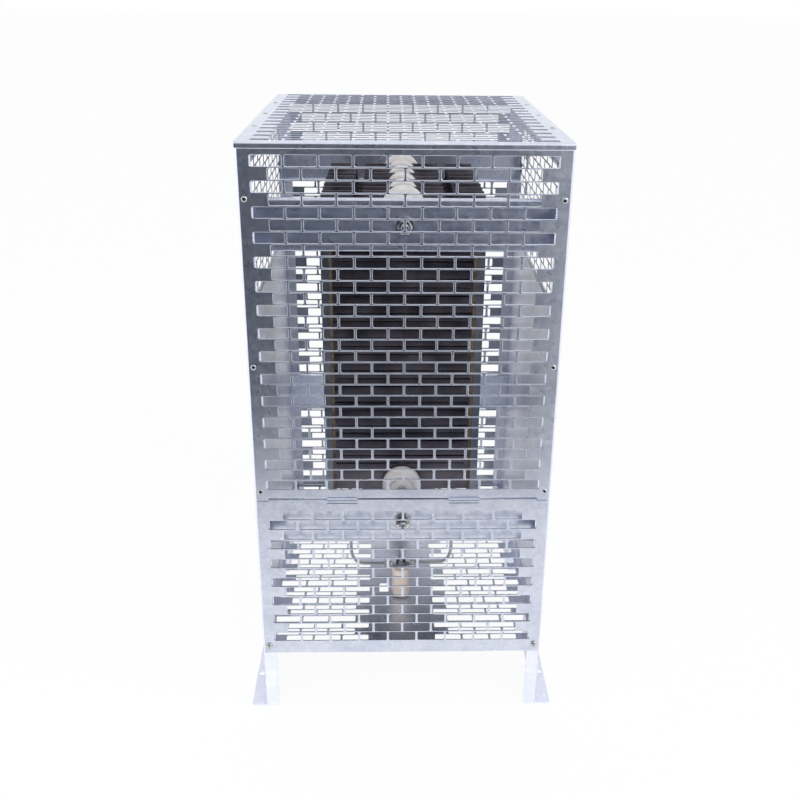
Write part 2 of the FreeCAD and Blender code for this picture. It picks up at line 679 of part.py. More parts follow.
def spools(level):
    """Ceramic spools on the sleeve, one in each second space between two grids."""
    width = "(grid_pitch - grid_sheet - 2 * seat_gap)"
    count = int(value("grid_count")) // 2
    items = []
    for index in range(count):
        y = f"({index} - ({count} - 1) / 2) * 2 * grid_pitch - {width} / 2"
        bore = "sleeve_diameter + 2 * seat_gap"
        items.append(ring(f"{level}Spool{index + 1}", "spool_diameter", bore, width, "0", y, RODS[level]))
    return group(f"{level}_spool_insulators", items)


# Resistor packet

GRID_HALF = "(packet_width / 2 - rail_sheet - mica_sheet - seat_gap)"


def grid_place(index):
    return f"(({index} - (grid_count - 1) / 2) * grid_pitch)"


def resistor_grid(index, slit_rows):
    """One punched steel grid; with slits it shows the meander, without them only its outline."""
    body = new_body(f"resistor_grid_{index + 1:02d}")
    half, sleeve = GRID_HALF, "(sleeve_diameter / 2 + seat_gap)"
    notch = "side_notch_spacing / 2 + side_notch_width / 2"
    inner = "side_notch_spacing / 2 - side_notch_width / 2"
    notch_floor = "packet_top - side_notch_depth"
    face = new_sketch(body, "XZ_Plane", f"-{grid_place(index)} - grid_sheet / 2")
    right_half = [
        (sleeve, f"lower_rod_height + {sleeve}"), (sleeve, "packet_bottom"), (half, "packet_bottom"),
        (half, "packet_top"), (notch, "packet_top"), (notch, notch_floor), (inner, notch_floor),
        (inner, "packet_top"), (sleeve, "packet_top"), (sleeve, f"upper_rod_height - {sleeve}"),
    ]
    left_half = [(f"-({x})", z) for x, z in reversed(right_half)]
    outline(face, right_half + left_half)
    pad(body, face, "grid_sheet")
    if slit_rows:
        count = "floor((packet_top - packet_bottom - 2 * end_bar) / bar_pitch / 2)"
        for side, row in ((RIGHT, "0"), (LEFT, "1")):
            slit = new_sketch(body, "XZ_Plane")
            ends = f"{side} * ({half} + slit)", f"-{side} * ({half} - turn_width)"
            left, right = sorted(ends, key=value)
            low = f"packet_bottom + end_bar + {row} * bar_pitch"
            rectangle(slit, left, low, right, f"{low} + slit")
            opening = punch(body, slit)
            repeat(body, opening, slit, "1", "1", count, "2 * bar_pitch")
    return body


def channel(name, side, index, width, sheet_text, reach, thickness):
    """An upright channel that wraps the edge of a grid, or of the mica on it."""
    y = grid_place(index)
    outer, inner = f"{side} * ({reach})", f"{side} * (({reach}) - ({width}))"
    left, right = sorted((outer, inner), key=value)
    bottom, top = "packet_bottom", "packet_top"
    front, rear = f"{y} - ({thickness}) / 2", f"{y} + ({thickness}) / 2"
    outside = block(f"{name}Outside", (left, front, bottom), (right, rear, top))
    slot_edge = f"{side} * (({reach}) - ({sheet_text}))"
    left, right = sorted((slot_edge, inner), key=value)
    core = f"(({thickness}) / 2 - ({sheet_text}))"
    inside = block(f"{name}Inside", (left, f"{y} - {core}", bottom), (right, f"{y} + {core}", top))
    return cut(name, outside, inside)


def packet_edges(side_name, side):
    """Mica strips on the grids' edges and the steel rails clamped over them."""
    mica_thick = "(grid_sheet + 2 * seat_gap + 2 * mica_sheet)"
    rail_thick = f"({mica_thick} + 2 * rail_sheet)"
    micas, rails = [], []
    reach = "packet_width / 2"
    width = "rail_width - rail_sheet + mica_show"
    for index in range(int(value("grid_count"))):
        tag = f"{side_name.title()}{index + 1}"
        inset = f"{reach} - rail_sheet"
        micas.append(channel(f"Mica{tag}", side, index, width, "mica_sheet", inset, mica_thick))
        rails.append(channel(f"Rail{tag}", side, index, "rail_width", "rail_sheet", reach, rail_thick))
    return [group(f"{side_name}_mica_strips", micas), group(f"{side_name}_side_rails", rails)]


def grid_links():
    """Straps that join the grids in one string, by turns at the upper and the lower edge."""
    links = []
    for index in range(int(value("grid_count")) - 1):
        upper = index % 2 == 0
        height = "(packet_top - link_edge)" if upper else "(packet_bottom + link_edge)"
        middle = f"{RIGHT if upper else LEFT} * link_inset"
        front, rear = f"{grid_place(index)} + grid_sheet / 2", f"{grid_place(index + 1)} - grid_sheet / 2"
        low = (f"{middle} - link_width / 2", front, f"{height} - link_height / 2")
        high = (f"{middle} + link_width / 2", rear, f"{height} + link_height / 2")
        links.append(block(f"Link{index + 1}", low, high))
    return group("grid_links", links)


# Connection posts and leads

POST_TOP = "(leg_height + panel_sheet + post_height)"
LUG_HEIGHT = f"({POST_TOP} + stud_washer_sheet)"
STUD_BORE = "(stud_diameter + 2 * stud_play)"


def post_place(end):
    return f"({end} * post_spacing / 2)"


def connection_post(end):
    label = f"{'front' if end == FRONT else 'rear'}_connection_post"
    foot = "leg_height + panel_sheet"
    item = prism(label, RIM_SIDES, "post_diameter", "post_height", "0", post_place(end), foot, "Z")
    item.Label = label
    return item


def lug(name, end, side, height):
    """Cable lug: a flat with a hole, and a barrel that points away from the stud."""
    y = post_place(end)
    outer, inner = sorted((f"-{side} * lug_width / 2", f"{side} * lug_reach"), key=value)
    low = (outer, f"{y} - lug_width / 2", height)
    high = (inner, f"{y} + lug_width / 2", f"{height} + lug_sheet")
    plate = block(f"{name}Plate", low, high)
    flat = bore_through(f"{name}Flat", plate, STUD_BORE, "lug_sheet", "0", y, height, "Z")
    start = min(f"{side} * lug_reach", f"{side} * (lug_reach + lug_barrel_length)", key=value)
    middle = f"{height} + lug_barrel / 2"
    barrel = prism(f"{name}Barrel", BORE_SIDES, "lug_barrel", "lug_barrel_length", start, y, middle, "X")
    return fuse(name, [flat, barrel])


def stud_hardware():
    """Studs, nuts, washers and lugs on the two posts."""
    studs, washers, nuts, lugs = [], [], [], []
    for end in (FRONT, REAR):
        tag, y = ("Front" if end == FRONT else "Rear"), post_place(end)
        studs.append(prism(f"{tag}Stud", RIM_SIDES, "stud_diameter", "stud_height", "0", y, POST_TOP, "Z"))
        washer = "stud_washer_diameter", STUD_BORE, "stud_washer_sheet"
        washers.append(ring(f"{tag}LowWasher", *washer, "0", y, POST_TOP, "Z"))
        lugs.append(lug(f"{tag}LeftLug", end, LEFT, LUG_HEIGHT))
        lugs.append(lug(f"{tag}RightLug", end, RIGHT, f"{LUG_HEIGHT} + lug_sheet"))
        seat = f"({LUG_HEIGHT} + 2 * lug_sheet)"
        nuts.append(nut(f"{tag}StudNut", "stud_nut_flats", STUD_BORE, "stud_nut_height", "0", y, seat, "Z"))
    return [
        group("connection_studs", studs), group("connection_washers", washers),
        group("connection_nuts", nuts), group("cable_lugs", lugs),
    ]


def lead(name, end, side, height):
    """Bare lead from a lug's barrel, out to the side and up to the end grid's lower bar."""
    y = value(post_place(end))
    bar = value(grid_place(0 if end == FRONT else int(value("grid_count")) - 1))
    level = value(f"{height} + lug_barrel / 2")
    start = FreeCAD.Vector(side * value("lug_reach + lug_barrel_length"), y, level)
    turn = FreeCAD.Vector(side * value("lead_foot"), y, level)
    finish = FreeCAD.Vector(side * value("lead_foot"), bar, value("packet_bottom - seat_gap"))
    bend_radius = value("lead_bend")
    out, up = (turn - start).normalize(), (finish - turn).normalize()
    half_turn = out.getAngle(up) / 2
    reach = bend_radius * math.tan(half_turn)
    bisector = (up - out).normalize()
    centre = turn + bisector * (bend_radius / math.cos(half_turn))
    first, last = turn - out * reach, turn + up * reach
    middle = centre - bisector * bend_radius
    path = Part.Wire([
        Part.LineSegment(start, first).toShape(), Part.Arc(first, middle, last).toShape(),
        Part.LineSegment(last, finish).toShape(),
    ])
    sides = 6
    radius = value("lead_diameter") / 2
    spokes = [math.tau * (index + 0.5) / sides for index in range(sides + 1)]
    corners = [start + FreeCAD.Vector(0, radius * math.cos(turn), radius * math.sin(turn)) for turn in spokes]
    tube = path.makePipeShell([Part.makePolygon(corners)], True, False)
    section = sides / 2 * radius ** 2 * math.sin(math.tau / sides)
    if abs(tube.Volume / (section * path.Length) - 1) > 0.01:
        raise ValueError(f"{name} has the wrong volume")
    print(name, "bend radius", bend_radius, "length", round(path.Length, 1))
    return tube


def leads(label, end):
    """Both bare leads of one post, as one node."""
    left = lead(f"{label} left", end, LEFT, LUG_HEIGHT)
    right = lead(f"{label} right", end, RIGHT, f"{LUG_HEIGHT} + lug_sheet")
    item = doc.addObject("Part::Feature", label)
    item.Label = label
    item.Shape = Part.makeCompound([left, right])
    return item


# Rivets and screws

def rivet(name, x, y, z, axis="Y"):
    """Low rivet head on the outside of a sheet."""
    return prism(name, BORE_SIDES, "rivet_head", "rivet_height", x, y, z, axis)


def rivets():
    front, rear, top = [], [], []
    for side in (LEFT, RIGHT):
        x = f"{side} * (cabinet_width / 2 - rivet_inset)"
        for height in ("rivet_top", "rivet_middle", "rivet_low"):
            front.append(rivet("FrontRivet", x, "-cabinet_depth / 2 - rivet_height", height))
        for height in ("rivet_top", "rivet_middle", "rivet_low", "screw_height"):
            rear.append(rivet("RearRivet", x, "cabinet_depth / 2", height))
        for place in (-1, 0, 1):
            top.append(rivet("TopRivet", x, f"{place} * top_rivet_pitch", "cabinet_height", "Z"))
    return [group("front_rivets", front), group("rear_rivets", rear), group("top_rivets", top)]


def cover_screws():
    """The cover's two screws, held captive in it."""
    items = []
    for side in (LEFT, RIGHT):
        x = f"{side} * {SCREW_X}"
        y = f"-{COVER_FACE} - screw_head_height"
        head = prism("ScrewHead", RIM_SIDES, "screw_head", "screw_head_height", x, y, "screw_height")
        y = f"-{COVER_FACE}"
        shank = prism("ScrewShank", BORE_SIDES, "screw_diameter", "screw_length", x, y, "screw_height")
        items.append(fuse("CoverScrew", [head, shank]))
    return group("cover_screws", items)


def build():
    """Every node of the resistor, in the order it is put together."""
    nodes = [side_wall("side_wall_left", LEFT), side_wall("side_wall_right", RIGHT)]
    nodes += [side_mesh("side_mesh_left", LEFT), side_mesh("side_mesh_right", RIGHT)]
    nodes.append(bottom_plate())
    for level, height in RODS.items():
        nodes.append(cross_beam(f"{level}_front_beam", FRONT, height))
        nodes.append(cross_beam(f"{level}_rear_beam", REAR, height))
        nodes += [tie_rod(level), rod_sleeve(level), spools(level)]
        nodes += [bell_insulator(level, FRONT), bell_insulator(level, REAR)]
    nodes += rod_hardware()
    last = int(value("grid_count")) - 1
    nodes += [resistor_grid(index, slit_rows=index == 0) for index in range(last + 1)]
    nodes += packet_edges("left", LEFT) + packet_edges("right", RIGHT)
    nodes.append(grid_links())
    nodes += [connection_post(FRONT), connection_post(REAR)]
    nodes += stud_hardware()
    nodes += [leads("front_leads", FRONT), leads("rear_leads", REAR)]
    nodes += [rear_panel(), front_panel(), top_cover()]
    nodes += rivets()
    nodes += [terminal_cover(), cover_screws()]
    doc.recompute()
    return nodes


def check(nodes):
    """Stop if any object of the document failed or any node is not sound."""
    for item in doc.Objects:
        if "Invalid" in item.State or "Error" in item.State:
            raise ValueError(f"{item.Name} failed: {item.State}")
    for node in nodes:
        if node.Shape.isNull() or not node.Shape.isValid():
            raise ValueError(f"{node.Label} has no valid shape")


nodes = build()
check(nodes)
os.makedirs("parts", exist_ok=True)
for node in nodes:
    node.Shape.exportStep(os.path.join("parts", f"{node.Label}.step"))
print(len(nodes), "nodes written")
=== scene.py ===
"""Studio view of a free-standing braking resistor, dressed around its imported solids.

All sizes are in millimetres where nothing else is said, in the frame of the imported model:
X to the right, Y to the rear, Z up, with the origin on the floor between the feet.
"""

import logging
import math
from dataclasses import dataclass, field
from enum import Enum
from typing import Callable, Iterable, Sequence

import bmesh
import bpy
from mathutils import Matrix, Vector
from mathutils.geometry import tessellate_polygon


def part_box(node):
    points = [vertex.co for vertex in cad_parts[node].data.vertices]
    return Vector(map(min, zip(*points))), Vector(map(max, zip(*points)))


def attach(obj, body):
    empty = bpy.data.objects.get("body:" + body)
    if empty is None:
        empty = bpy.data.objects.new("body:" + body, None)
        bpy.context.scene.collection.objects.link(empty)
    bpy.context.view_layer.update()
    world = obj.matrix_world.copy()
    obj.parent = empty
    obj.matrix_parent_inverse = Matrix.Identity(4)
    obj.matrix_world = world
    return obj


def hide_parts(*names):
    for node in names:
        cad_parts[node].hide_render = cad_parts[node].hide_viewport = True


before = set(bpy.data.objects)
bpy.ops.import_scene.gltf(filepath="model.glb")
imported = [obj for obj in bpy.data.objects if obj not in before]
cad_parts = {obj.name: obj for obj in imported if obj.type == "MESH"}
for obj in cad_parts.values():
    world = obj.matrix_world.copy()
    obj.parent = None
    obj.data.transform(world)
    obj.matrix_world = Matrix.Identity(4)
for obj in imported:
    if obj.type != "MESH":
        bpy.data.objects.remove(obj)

LOG = logging.getLogger("braking_resistor")
MM = 0.001
SIDES = (-1, 1)
SHARP_ANGLE = math.radians(35)
# Points closer than this are one point.
WELD = 1e-4
# Noise rarely leaves this range, so patches of colour are spread over it.
NOISE_RANGE = (0.3, 0.7)
# Half the cabinet's depth, and its height.
DEPTH = 240.0
HEIGHT = 805.0
# The terminal cover's outer face, and how far out and how high its screws sit.
COVER_FACE = 240.8
COVER_SCREW = (186.0, 108.0)
# Heights of the tie rods, and the holes that they go through.
RODS = (("upper", 704.0), ("lower", 297.0))
ROD_BORE = 11.0
PACKET_BOTTOM = 287.0
# Width across flats, bore and height of the nuts on 10 mm and 8 mm threads.
M10_NUT = (16.0, 8.6, 8.0)
M8_NUT = (13.0, 6.9, 6.5)

Point = tuple[float, float]
Triple = tuple[float, float, float]
Place = Triple
Edges = tuple[float, float, float, float]
Loop = list[Point]
Form = bmesh.types.BMesh
Tree = bpy.types.NodeTree
Socket = bpy.types.NodeSocket


class Body(Enum):
    """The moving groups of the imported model."""

    CABINET = "cabinet"
    COVER = "cover"


class Slot(Enum):
    """The material slots, by their names.

    The punched window sheets go under the slot named expanded metal.
    """

    GALVANISED = "galvanised_sheet"
    EXPANDED = "expanded_metal"
    ZINC = "zinc_plated_steel"
    GRID = "grid_steel"
    STEATITE = "white_ceramic"
    POST = "beige_ceramic"
    TINNED = "tinned_copper"


class End(Enum):
    """Front or rear of the cabinet, as the sign of Y."""

    FRONT = -1
    REAR = 1

    @property
    def word(self) -> str:
        """Give its name as it stands in the names of nodes."""
        return self.name.lower()

    @property
    def axis(self) -> str:
        """Give the direction that points out of the cabinet there."""
        return "-Y" if self is End.FRONT else "Y"


def hex_colour(code: str) -> tuple[float, float, float, float]:
    """Turn an sRGB hex value into a linear colour.

    Args:
        code: six hex digits, with or without a leading hash.

    Returns:
        Linear red, green and blue, and an alpha of one.
    """
    digits = code.lstrip("#")
    parts = [int(digits[start : start + 2], 16) / 255 for start in (0, 2, 4)]
    linear = [part / 12.92 if part <= 0.04045 else ((part + 0.055) / 1.055) ** 2.4 for part in parts]
    return (linear[0], linear[1], linear[2], 1.0)


def fresh_tree(owner: bpy.types.Material | bpy.types.World) -> Tree:
    """Give the empty node tree of a material or a world."""
    owner.use_nodes = True
    owner.node_tree.nodes.clear()
    return owner.node_tree


def add_node(
    tree: Tree,
    kind: str,
    settings: dict[str | int, object] | None = None,
    links: dict[str | int, Socket] | None = None,
) -> bpy.types.Node:
    """Add a shader node.

    Args:
        tree: the node tree that takes it.
        kind: Blender's name of the node type, without its first words ShaderNode.
        settings: values for input sockets, by name or number, and for the node's own properties.
        links: sockets of other nodes to join to its inputs.

    Returns:
        The new node.
    """
    node = tree.nodes.new(f"ShaderNode{kind}")
    for key, value in (settings or {}).items():
        if hasattr(node, str(key)):
            setattr(node, str(key), value)
        else:
            node.inputs[key].default_value = value
    for key, socket in (links or {}).items():
        tree.links.new(socket, node.inputs[key])
    return node


def noise(tree: Tree, place: Socket, scale: float, detail: float, roughness: float = 0.5) -> bpy.types.Node:
    """Add a noise texture, with its scale in patches to the metre."""
    return add_node(
        tree, "TexNoise", {"Scale": scale, "Detail": detail, "Roughness": roughness}, {"Vector": place}
    )


def blend_colours(tree: Tree, factor: Socket, dark: str, light: str) -> Socket:
    """Mix two sRGB hex colours by a socket, where zero gives the dark one."""
    colours = {"data_type": "RGBA", 6: hex_colour(dark), 7: hex_colour(light)}
    return add_node(tree, "Mix", colours, {0: factor}).outputs[2]


def spread(tree: Tree, source: Socket, taken: Point, given: Point = (0.0, 1.0)) -> Socket:
    """Map one range of values onto another.

    Args:
        tree: the node tree.
        source: the value.
        taken: its lowest and highest value.
        given: what they become.

    Returns:
        The new value.
    """
    ends = {"From Min": taken[0], "From Max": taken[1], "To Min": given[0], "To Max": given[1]}
    return add_node(tree, "MapRange", ends, {"Value": source}).outputs["Result"]


@dataclass(frozen=True)
class Finish:
    """A real material and how its surface was made.

    Attributes:
        name: what a maker would call it.
        colour: its plain colour, as sRGB hex.
        roughness: roughness of the bare surface.
        metallic: one for a bare metal, zero for anything else.
        slot: a slot name for new pieces that take it, none where there are none; not used.
    """

    name: str
    colour: str
    roughness: float
    metallic: float
    slot: Slot | None

    def dress(self, tree: Tree, shader: bpy.types.Node) -> None:
        """Add this finish's own pattern; the plain finish has none."""

    def material(self) -> bpy.types.Material:
        """Make the Blender material once and return it each time."""
        made = bpy.data.materials.get(self.name)
        if made:
            return made
        made = bpy.data.materials.new(self.name)
        tree = fresh_tree(made)
        shader = add_node(tree, "BsdfPrincipled", {
            "Base Color": hex_colour(self.colour),
            "Metallic": self.metallic,
            "Roughness": self.roughness,
        })
        add_node(tree, "OutputMaterial", links={"Surface": shader.outputs["BSDF"]})
        self.dress(tree, shader)
        return made


def relieve(tree: Tree, shader: bpy.types.Node, grain: bpy.types.Node, strength: float, depth: float) -> None:
    """Give a surface the relief of a noise texture.

    Args:
        tree: the node tree.
        shader: the surface's shader.
        grain: the noise.
        strength: how much of the relief shows.
        depth: of the relief, in metres.
    """
    bump = add_node(tree, "Bump", {"Strength": strength, "Distance": depth}, {"Height": grain.outputs["Fac"]})
    tree.links.new(bump.outputs["Normal"], shader.inputs["Normal"])


@dataclass(frozen=True)
class HotDipZinc(Finish):
    """Hot-dip galvanised steel sheet, satin, with its frozen zinc crystals.

    The crystals are flat patches some millimetres wide, each a shade lighter or darker than the
    next and a little more or less glossy. Cloudy patches and a very fine grain lie over them.

    Attributes:
        dark: colour of the darkest crystals.
        light: colour of the lightest ones.
        crystal: width of a crystal, in millimetres.
        warp: how far the crystals' borders wander, in metres.
        cloudy: share of the clouds in the colour; the crystals have the rest.
        drift: how far the roughness of a crystal lies from the mean.
    """

    dark: str
    light: str
    crystal: float = 5.0
    warp: float = 0.006
    cloudy: float = 0.84
    drift: float = 0.05

    def dress(self, tree: Tree, shader: bpy.types.Node) -> None:
        """Draw crystals, cloudy patches and the fine grain."""
        place = add_node(tree, "TexCoord").outputs["Object"]
        wander = noise(tree, place, scale=140.0, detail=2.0)
        bent = add_node(
            tree, "VectorMath", {"operation": "MULTIPLY_ADD", 1: (self.warp,) * 3},
            {0: wander.outputs["Color"], 2: place},
        )
        scale = 1.0 / (self.crystal * MM)
        cells = add_node(tree, "TexVoronoi", {"Scale": scale}, {"Vector": bent.outputs["Vector"]})
        shade = add_node(tree, "SeparateColor", links={"Color": cells.outputs["Color"]})
        cloud = noise(tree, place, scale=24.0, detail=6.0, roughness=0.72)
        both = add_node(
            tree, "Mix", {"data_type": "FLOAT", 0: self.cloudy},
            {2: shade.outputs["Red"], 3: cloud.outputs["Fac"]},
        )
        mixed = spread(tree, both.outputs[0], (0.25, 0.75))
        tree.links.new(blend_colours(tree, mixed, self.dark, self.light), shader.inputs["Base Color"])
        gloss = (self.roughness - self.drift, self.roughness + self.drift)
        tree.links.new(spread(tree, shade.outputs["Green"], (0.0, 1.0), gloss), shader.inputs["Roughness"])
        grain = noise(tree, place, scale=900.0, detail=3.0, roughness=0.6)
        relieve(tree, shader, grain, strength=0.035, depth=0.0002)


@dataclass(frozen=True)
class Clouded(Finish):
    """Any finish whose colour and gloss drift a little over the surface.

    Attributes:
        dark: colour of the darker patches.
        light: colour of the lighter ones.
        patch: width of a patch, in millimetres.
        grain: width of the surface grain, in millimetres.
        relief: depth of that grain, in millimetres.
        drift: how far the roughness drifts to each side.
    """

    dark: str
    light: str
    patch: float
    grain: float
    relief: float
    drift: float

    def dress(self, tree: Tree, shader: bpy.types.Node) -> None:
        """Draw soft patches and a fine grain."""
        place = add_node(tree, "TexCoord").outputs["Object"]
        cloud = noise(tree, place, 1.0 / (self.patch * MM), detail=5.0).outputs["Fac"]
        mixed = spread(tree, cloud, NOISE_RANGE)
        tree.links.new(blend_colours(tree, mixed, self.dark, self.light), shader.inputs["Base Color"])
        gloss = (self.roughness - self.drift, self.roughness + self.drift)
        tree.links.new(spread(tree, cloud, NOISE_RANGE, gloss), shader.inputs["Roughness"])
        grain = noise(tree, place, 1.0 / (self.grain * MM), detail=3.0)
        relieve(tree, shader, grain, strength=0.4, depth=self.relief * MM)


# Galvanised panels and covers: bluish grey, satin, faint crystals.
GALVANISED = HotDipZinc(
    "hot_dip_galvanised_sheet", "#dde2f0", 0.32, 0.97, Slot.GALVANISED, "#c9d0e2", "#e9edf9"
)
# Side walls, from thicker sheet with a heavier coat: the same blue white, but more matt.
SIDE_ZINC = HotDipZinc(
    "heavy_coat_galvanised_sheet", "#e2e5f2", 0.38, 0.3, Slot.GALVANISED, "#d7dbea", "#eceef8", 9.0
)
# The rear panel's zinc is painted darker than the other panels, as painted shade, so that the inside of the
# cabinet reads dark.
REAR_ZINC_PAINTED_SHADE = HotDipZinc(
    "galvanised_sheet_painted_shade", "#a6abb5", 0.34, 0.97, Slot.GALVANISED, "#969ca8", "#b5bac4"
)
# The window sheets come from another coil: the same zinc, a shade duller.
INFILL = HotDipZinc(
    "hot_dip_galvanised_window_sheet", "#a9aeb9", 0.42, 0.92, Slot.EXPANDED, "#9ba1ad", "#b9bec9", 9.0
)
# Bright zinc plating on bolts, nuts, washers and rods, in patches a touch darker and yellower.
BRIGHT_ZINC = Clouded(
    "bright_zinc_plating", "#c9cbcd", 0.24, 1.0, Slot.ZINC, "#b5b6b4", "#dcdee2", 6.0, 0.8, 0.03, 0.06
)
# Stainless resistor sheet, darkened by heat: dark violet grey, dull.
HEATED_STEEL = Clouded(
    "heat_darkened_resistor_steel", "#656068", 0.38, 1.0, Slot.GRID, "#555158", "#756f77", 35.0, 0.6,
    0.03, 0.08,
)
# Rolled rails over the mica and the links: plain steel, grey.
RAIL_STEEL = Clouded(
    "rolled_steel_rail", "#8b919c", 0.38, 1.0, None, "#7b818d", "#9aa0ab", 30.0, 0.8, 0.04, 0.06
)
# Mica laminate: dark brown with lighter layers, dull.
MICA = Clouded(
    "mica_laminate", "#574a3a", 0.38, 0.0, None, "#42372c", "#6c5c48", 9.0, 1.2, 0.15, 0.1
)
# Steatite, pressed and fired without glaze: cream white and matt.
STEATITE = Clouded(
    "unglazed_steatite", "#f0ece8", 0.5, 0.0, Slot.STEATITE, "#e8e2dd", "#f7f4f1", 16.0, 0.5, 0.05, 0.06
)
# Body of the connection posts: warm beige with a waxy sheen.
POST_RESIN = Clouded(
    "moulded_beige_resin", "#e6d3c3", 0.36, 0.0, Slot.POST, "#dac7b7", "#efe0d3", 18.0, 0.7, 0.05, 0.06
)
# Tinned copper strands and lugs: soft silver.
TINNED = Clouded(
    "tinned_copper", "#c6c6c4", 0.3, 1.0, Slot.TINNED, "#aeaeaa", "#d9d9d6", 5.0, 0.5, 0.03, 0.08
)
# Near black: the mandrel ends' own oxide, darkened further as painted shade of the hollow that light hardly
# reaches.
OXIDE_AND_HOLLOW_SHADE = Clouded(
    "oxide_and_painted_hollow_shade", "#1b1b1d", 0.5, 0.6, Slot.ZINC, "#141416", "#242428", 4.0, 0.5, 0.03, 0.05
)


def rectangle(left: float, bottom: float, right: float, top: float) -> Loop:
    """Give a rectangle's corners, counter-clockwise."""
    return [(left, bottom), (right, bottom), (right, top), (left, top)]


def arc(x: float, y: float, radius: float, first: float, last: float, steps: int) -> Loop:
    """Give points on a circle around x and y, from one angle in degrees to another."""
    turns = [math.radians(first + (last - first) * step / steps) for step in range(steps + 1)]
    return [(x + radius * math.cos(turn), y + radius * math.sin(turn)) for turn in turns]


def circle(x: float, y: float, diameter: float, sides: int = 24) -> Loop:
    """Give a circle as a loop of points, counter-clockwise."""
    return arc(x, y, diameter / 2, 0, 360, sides)[:-1]


def mirrored(half: Loop) -> Loop:
    """Give the left half of an outline from its right half, in the same direction."""
    return [(-x, y) for x, y in reversed(half)]


def rounded(corners: Loop, radius: float, steps: int = 2) -> Loop:
    """Round every corner of a loop.

    Args:
        corners: the loop's corners.
        radius: radius of each corner, or what half the shorter side allows.
        steps: straight pieces in each corner.

    Returns:
        The rounded loop, in the same direction.
    """
    made: Loop = []
    for index, corner in enumerate(corners):
        point = Vector(corner)
        before = Vector(corners[index - 1]) - point
        after = Vector(corners[(index + 1) % len(corners)]) - point
        cut = min(radius, before.length / 2.01, after.length / 2.01)
        start, end = point + before.normalized() * cut, point + after.normalized() * cut
        for step in range(steps + 1):
            part = step / steps
            curve = start * (1 - part) ** 2 + point * 2 * part * (1 - part) + end * part**2
            made.append((curve.x, curve.y))
    return made


def signed_area(loop: Loop) -> float:
    """Give a loop's area, positive when it runs counter-clockwise."""
    pairs = zip(loop, loop[1:] + loop[:1])
    return sum(start[0] * end[1] - end[0] * start[1] for start, end in pairs) / 2


def shifted(loop: Loop, distance: float) -> Loop:
    """Move each side of a loop to its left by a distance, with mitred corners."""
    made: Loop = []
    sharpest = 0.4
    for index in range(len(loop)):
        here = Vector(loop[index])
        into = (here - Vector(loop[index - 1])).normalized()
        out = (Vector(loop[(index + 1) % len(loop)]) - here).normalized()
        normal = Vector((-into.y - out.y, into.x + out.x)).normalized()
        grow = max(sharpest, normal.dot(Vector((-into.y, into.x))))
        moved = here + normal * (distance / grow)
        made.append((moved.x, moved.y))
    return made


@dataclass(frozen=True)
class Bend:
    """One straight bend of a flat sheet.

    Attributes:
        axis: 0 when the fold line runs up the sheet, 1 when it runs across.
        start: where the bend begins, along that axis.
        onward: 1 when the sheet beyond the larger coordinate is folded, -1 for the smaller.
        angle: degrees, positive when the sheet folds to its back.
        radius: inner radius.
        takes: whether a point of the blank takes part, from its two coordinates.
    """

    axis: int
    start: float
    onward: int
    angle: float
    radius: float
    takes: Callable[[float, float], bool] = lambda across, up: True

    def arc(self, thickness: float) -> float:
        """Give the length of the bend's middle line."""
        return math.radians(abs(self.angle)) * (self.radius + thickness / 2)

    def moved(self, co: Vector, thickness: float) -> Vector:
        """Give where a point of the flat sheet goes.

        Args:
            co: the point, with its third coordinate out of the sheet's middle.
            thickness: of the sheet.

        Returns:
            The point after the bend.
        """
        past = (co[self.axis] - self.start) * self.onward
        if past <= 0:
            return co
        side = 1 if self.angle >= 0 else -1
        middle = self.radius + thickness / 2
        turn = min(past / middle, math.radians(abs(self.angle)))
        rest = past - turn * middle
        out = middle + co.z * side
        made = co.copy()
        made[self.axis] = self.start + self.onward * (out * math.sin(turn) + rest * math.cos(turn))
        made.z = (out * math.cos(turn) - middle - rest * math.sin(turn)) * side
        return made


def unfolded(outer: float, flange: float, sheet: float, radius: float) -> tuple[float, float]:
    """Plan a right-angled fold on a sheet's edge.

    Args:
        outer: outer face of the fold, from the middle of the sheet.
        flange: outer width of what is folded.
        sheet: thickness.
        radius: inner radius of the bend.

    Returns:
        Where the bend starts, and how far the blank reaches.
    """
    start = outer - radius - sheet
    return start, start + math.pi / 2 * (radius + sheet / 2) + flange - radius - sheet


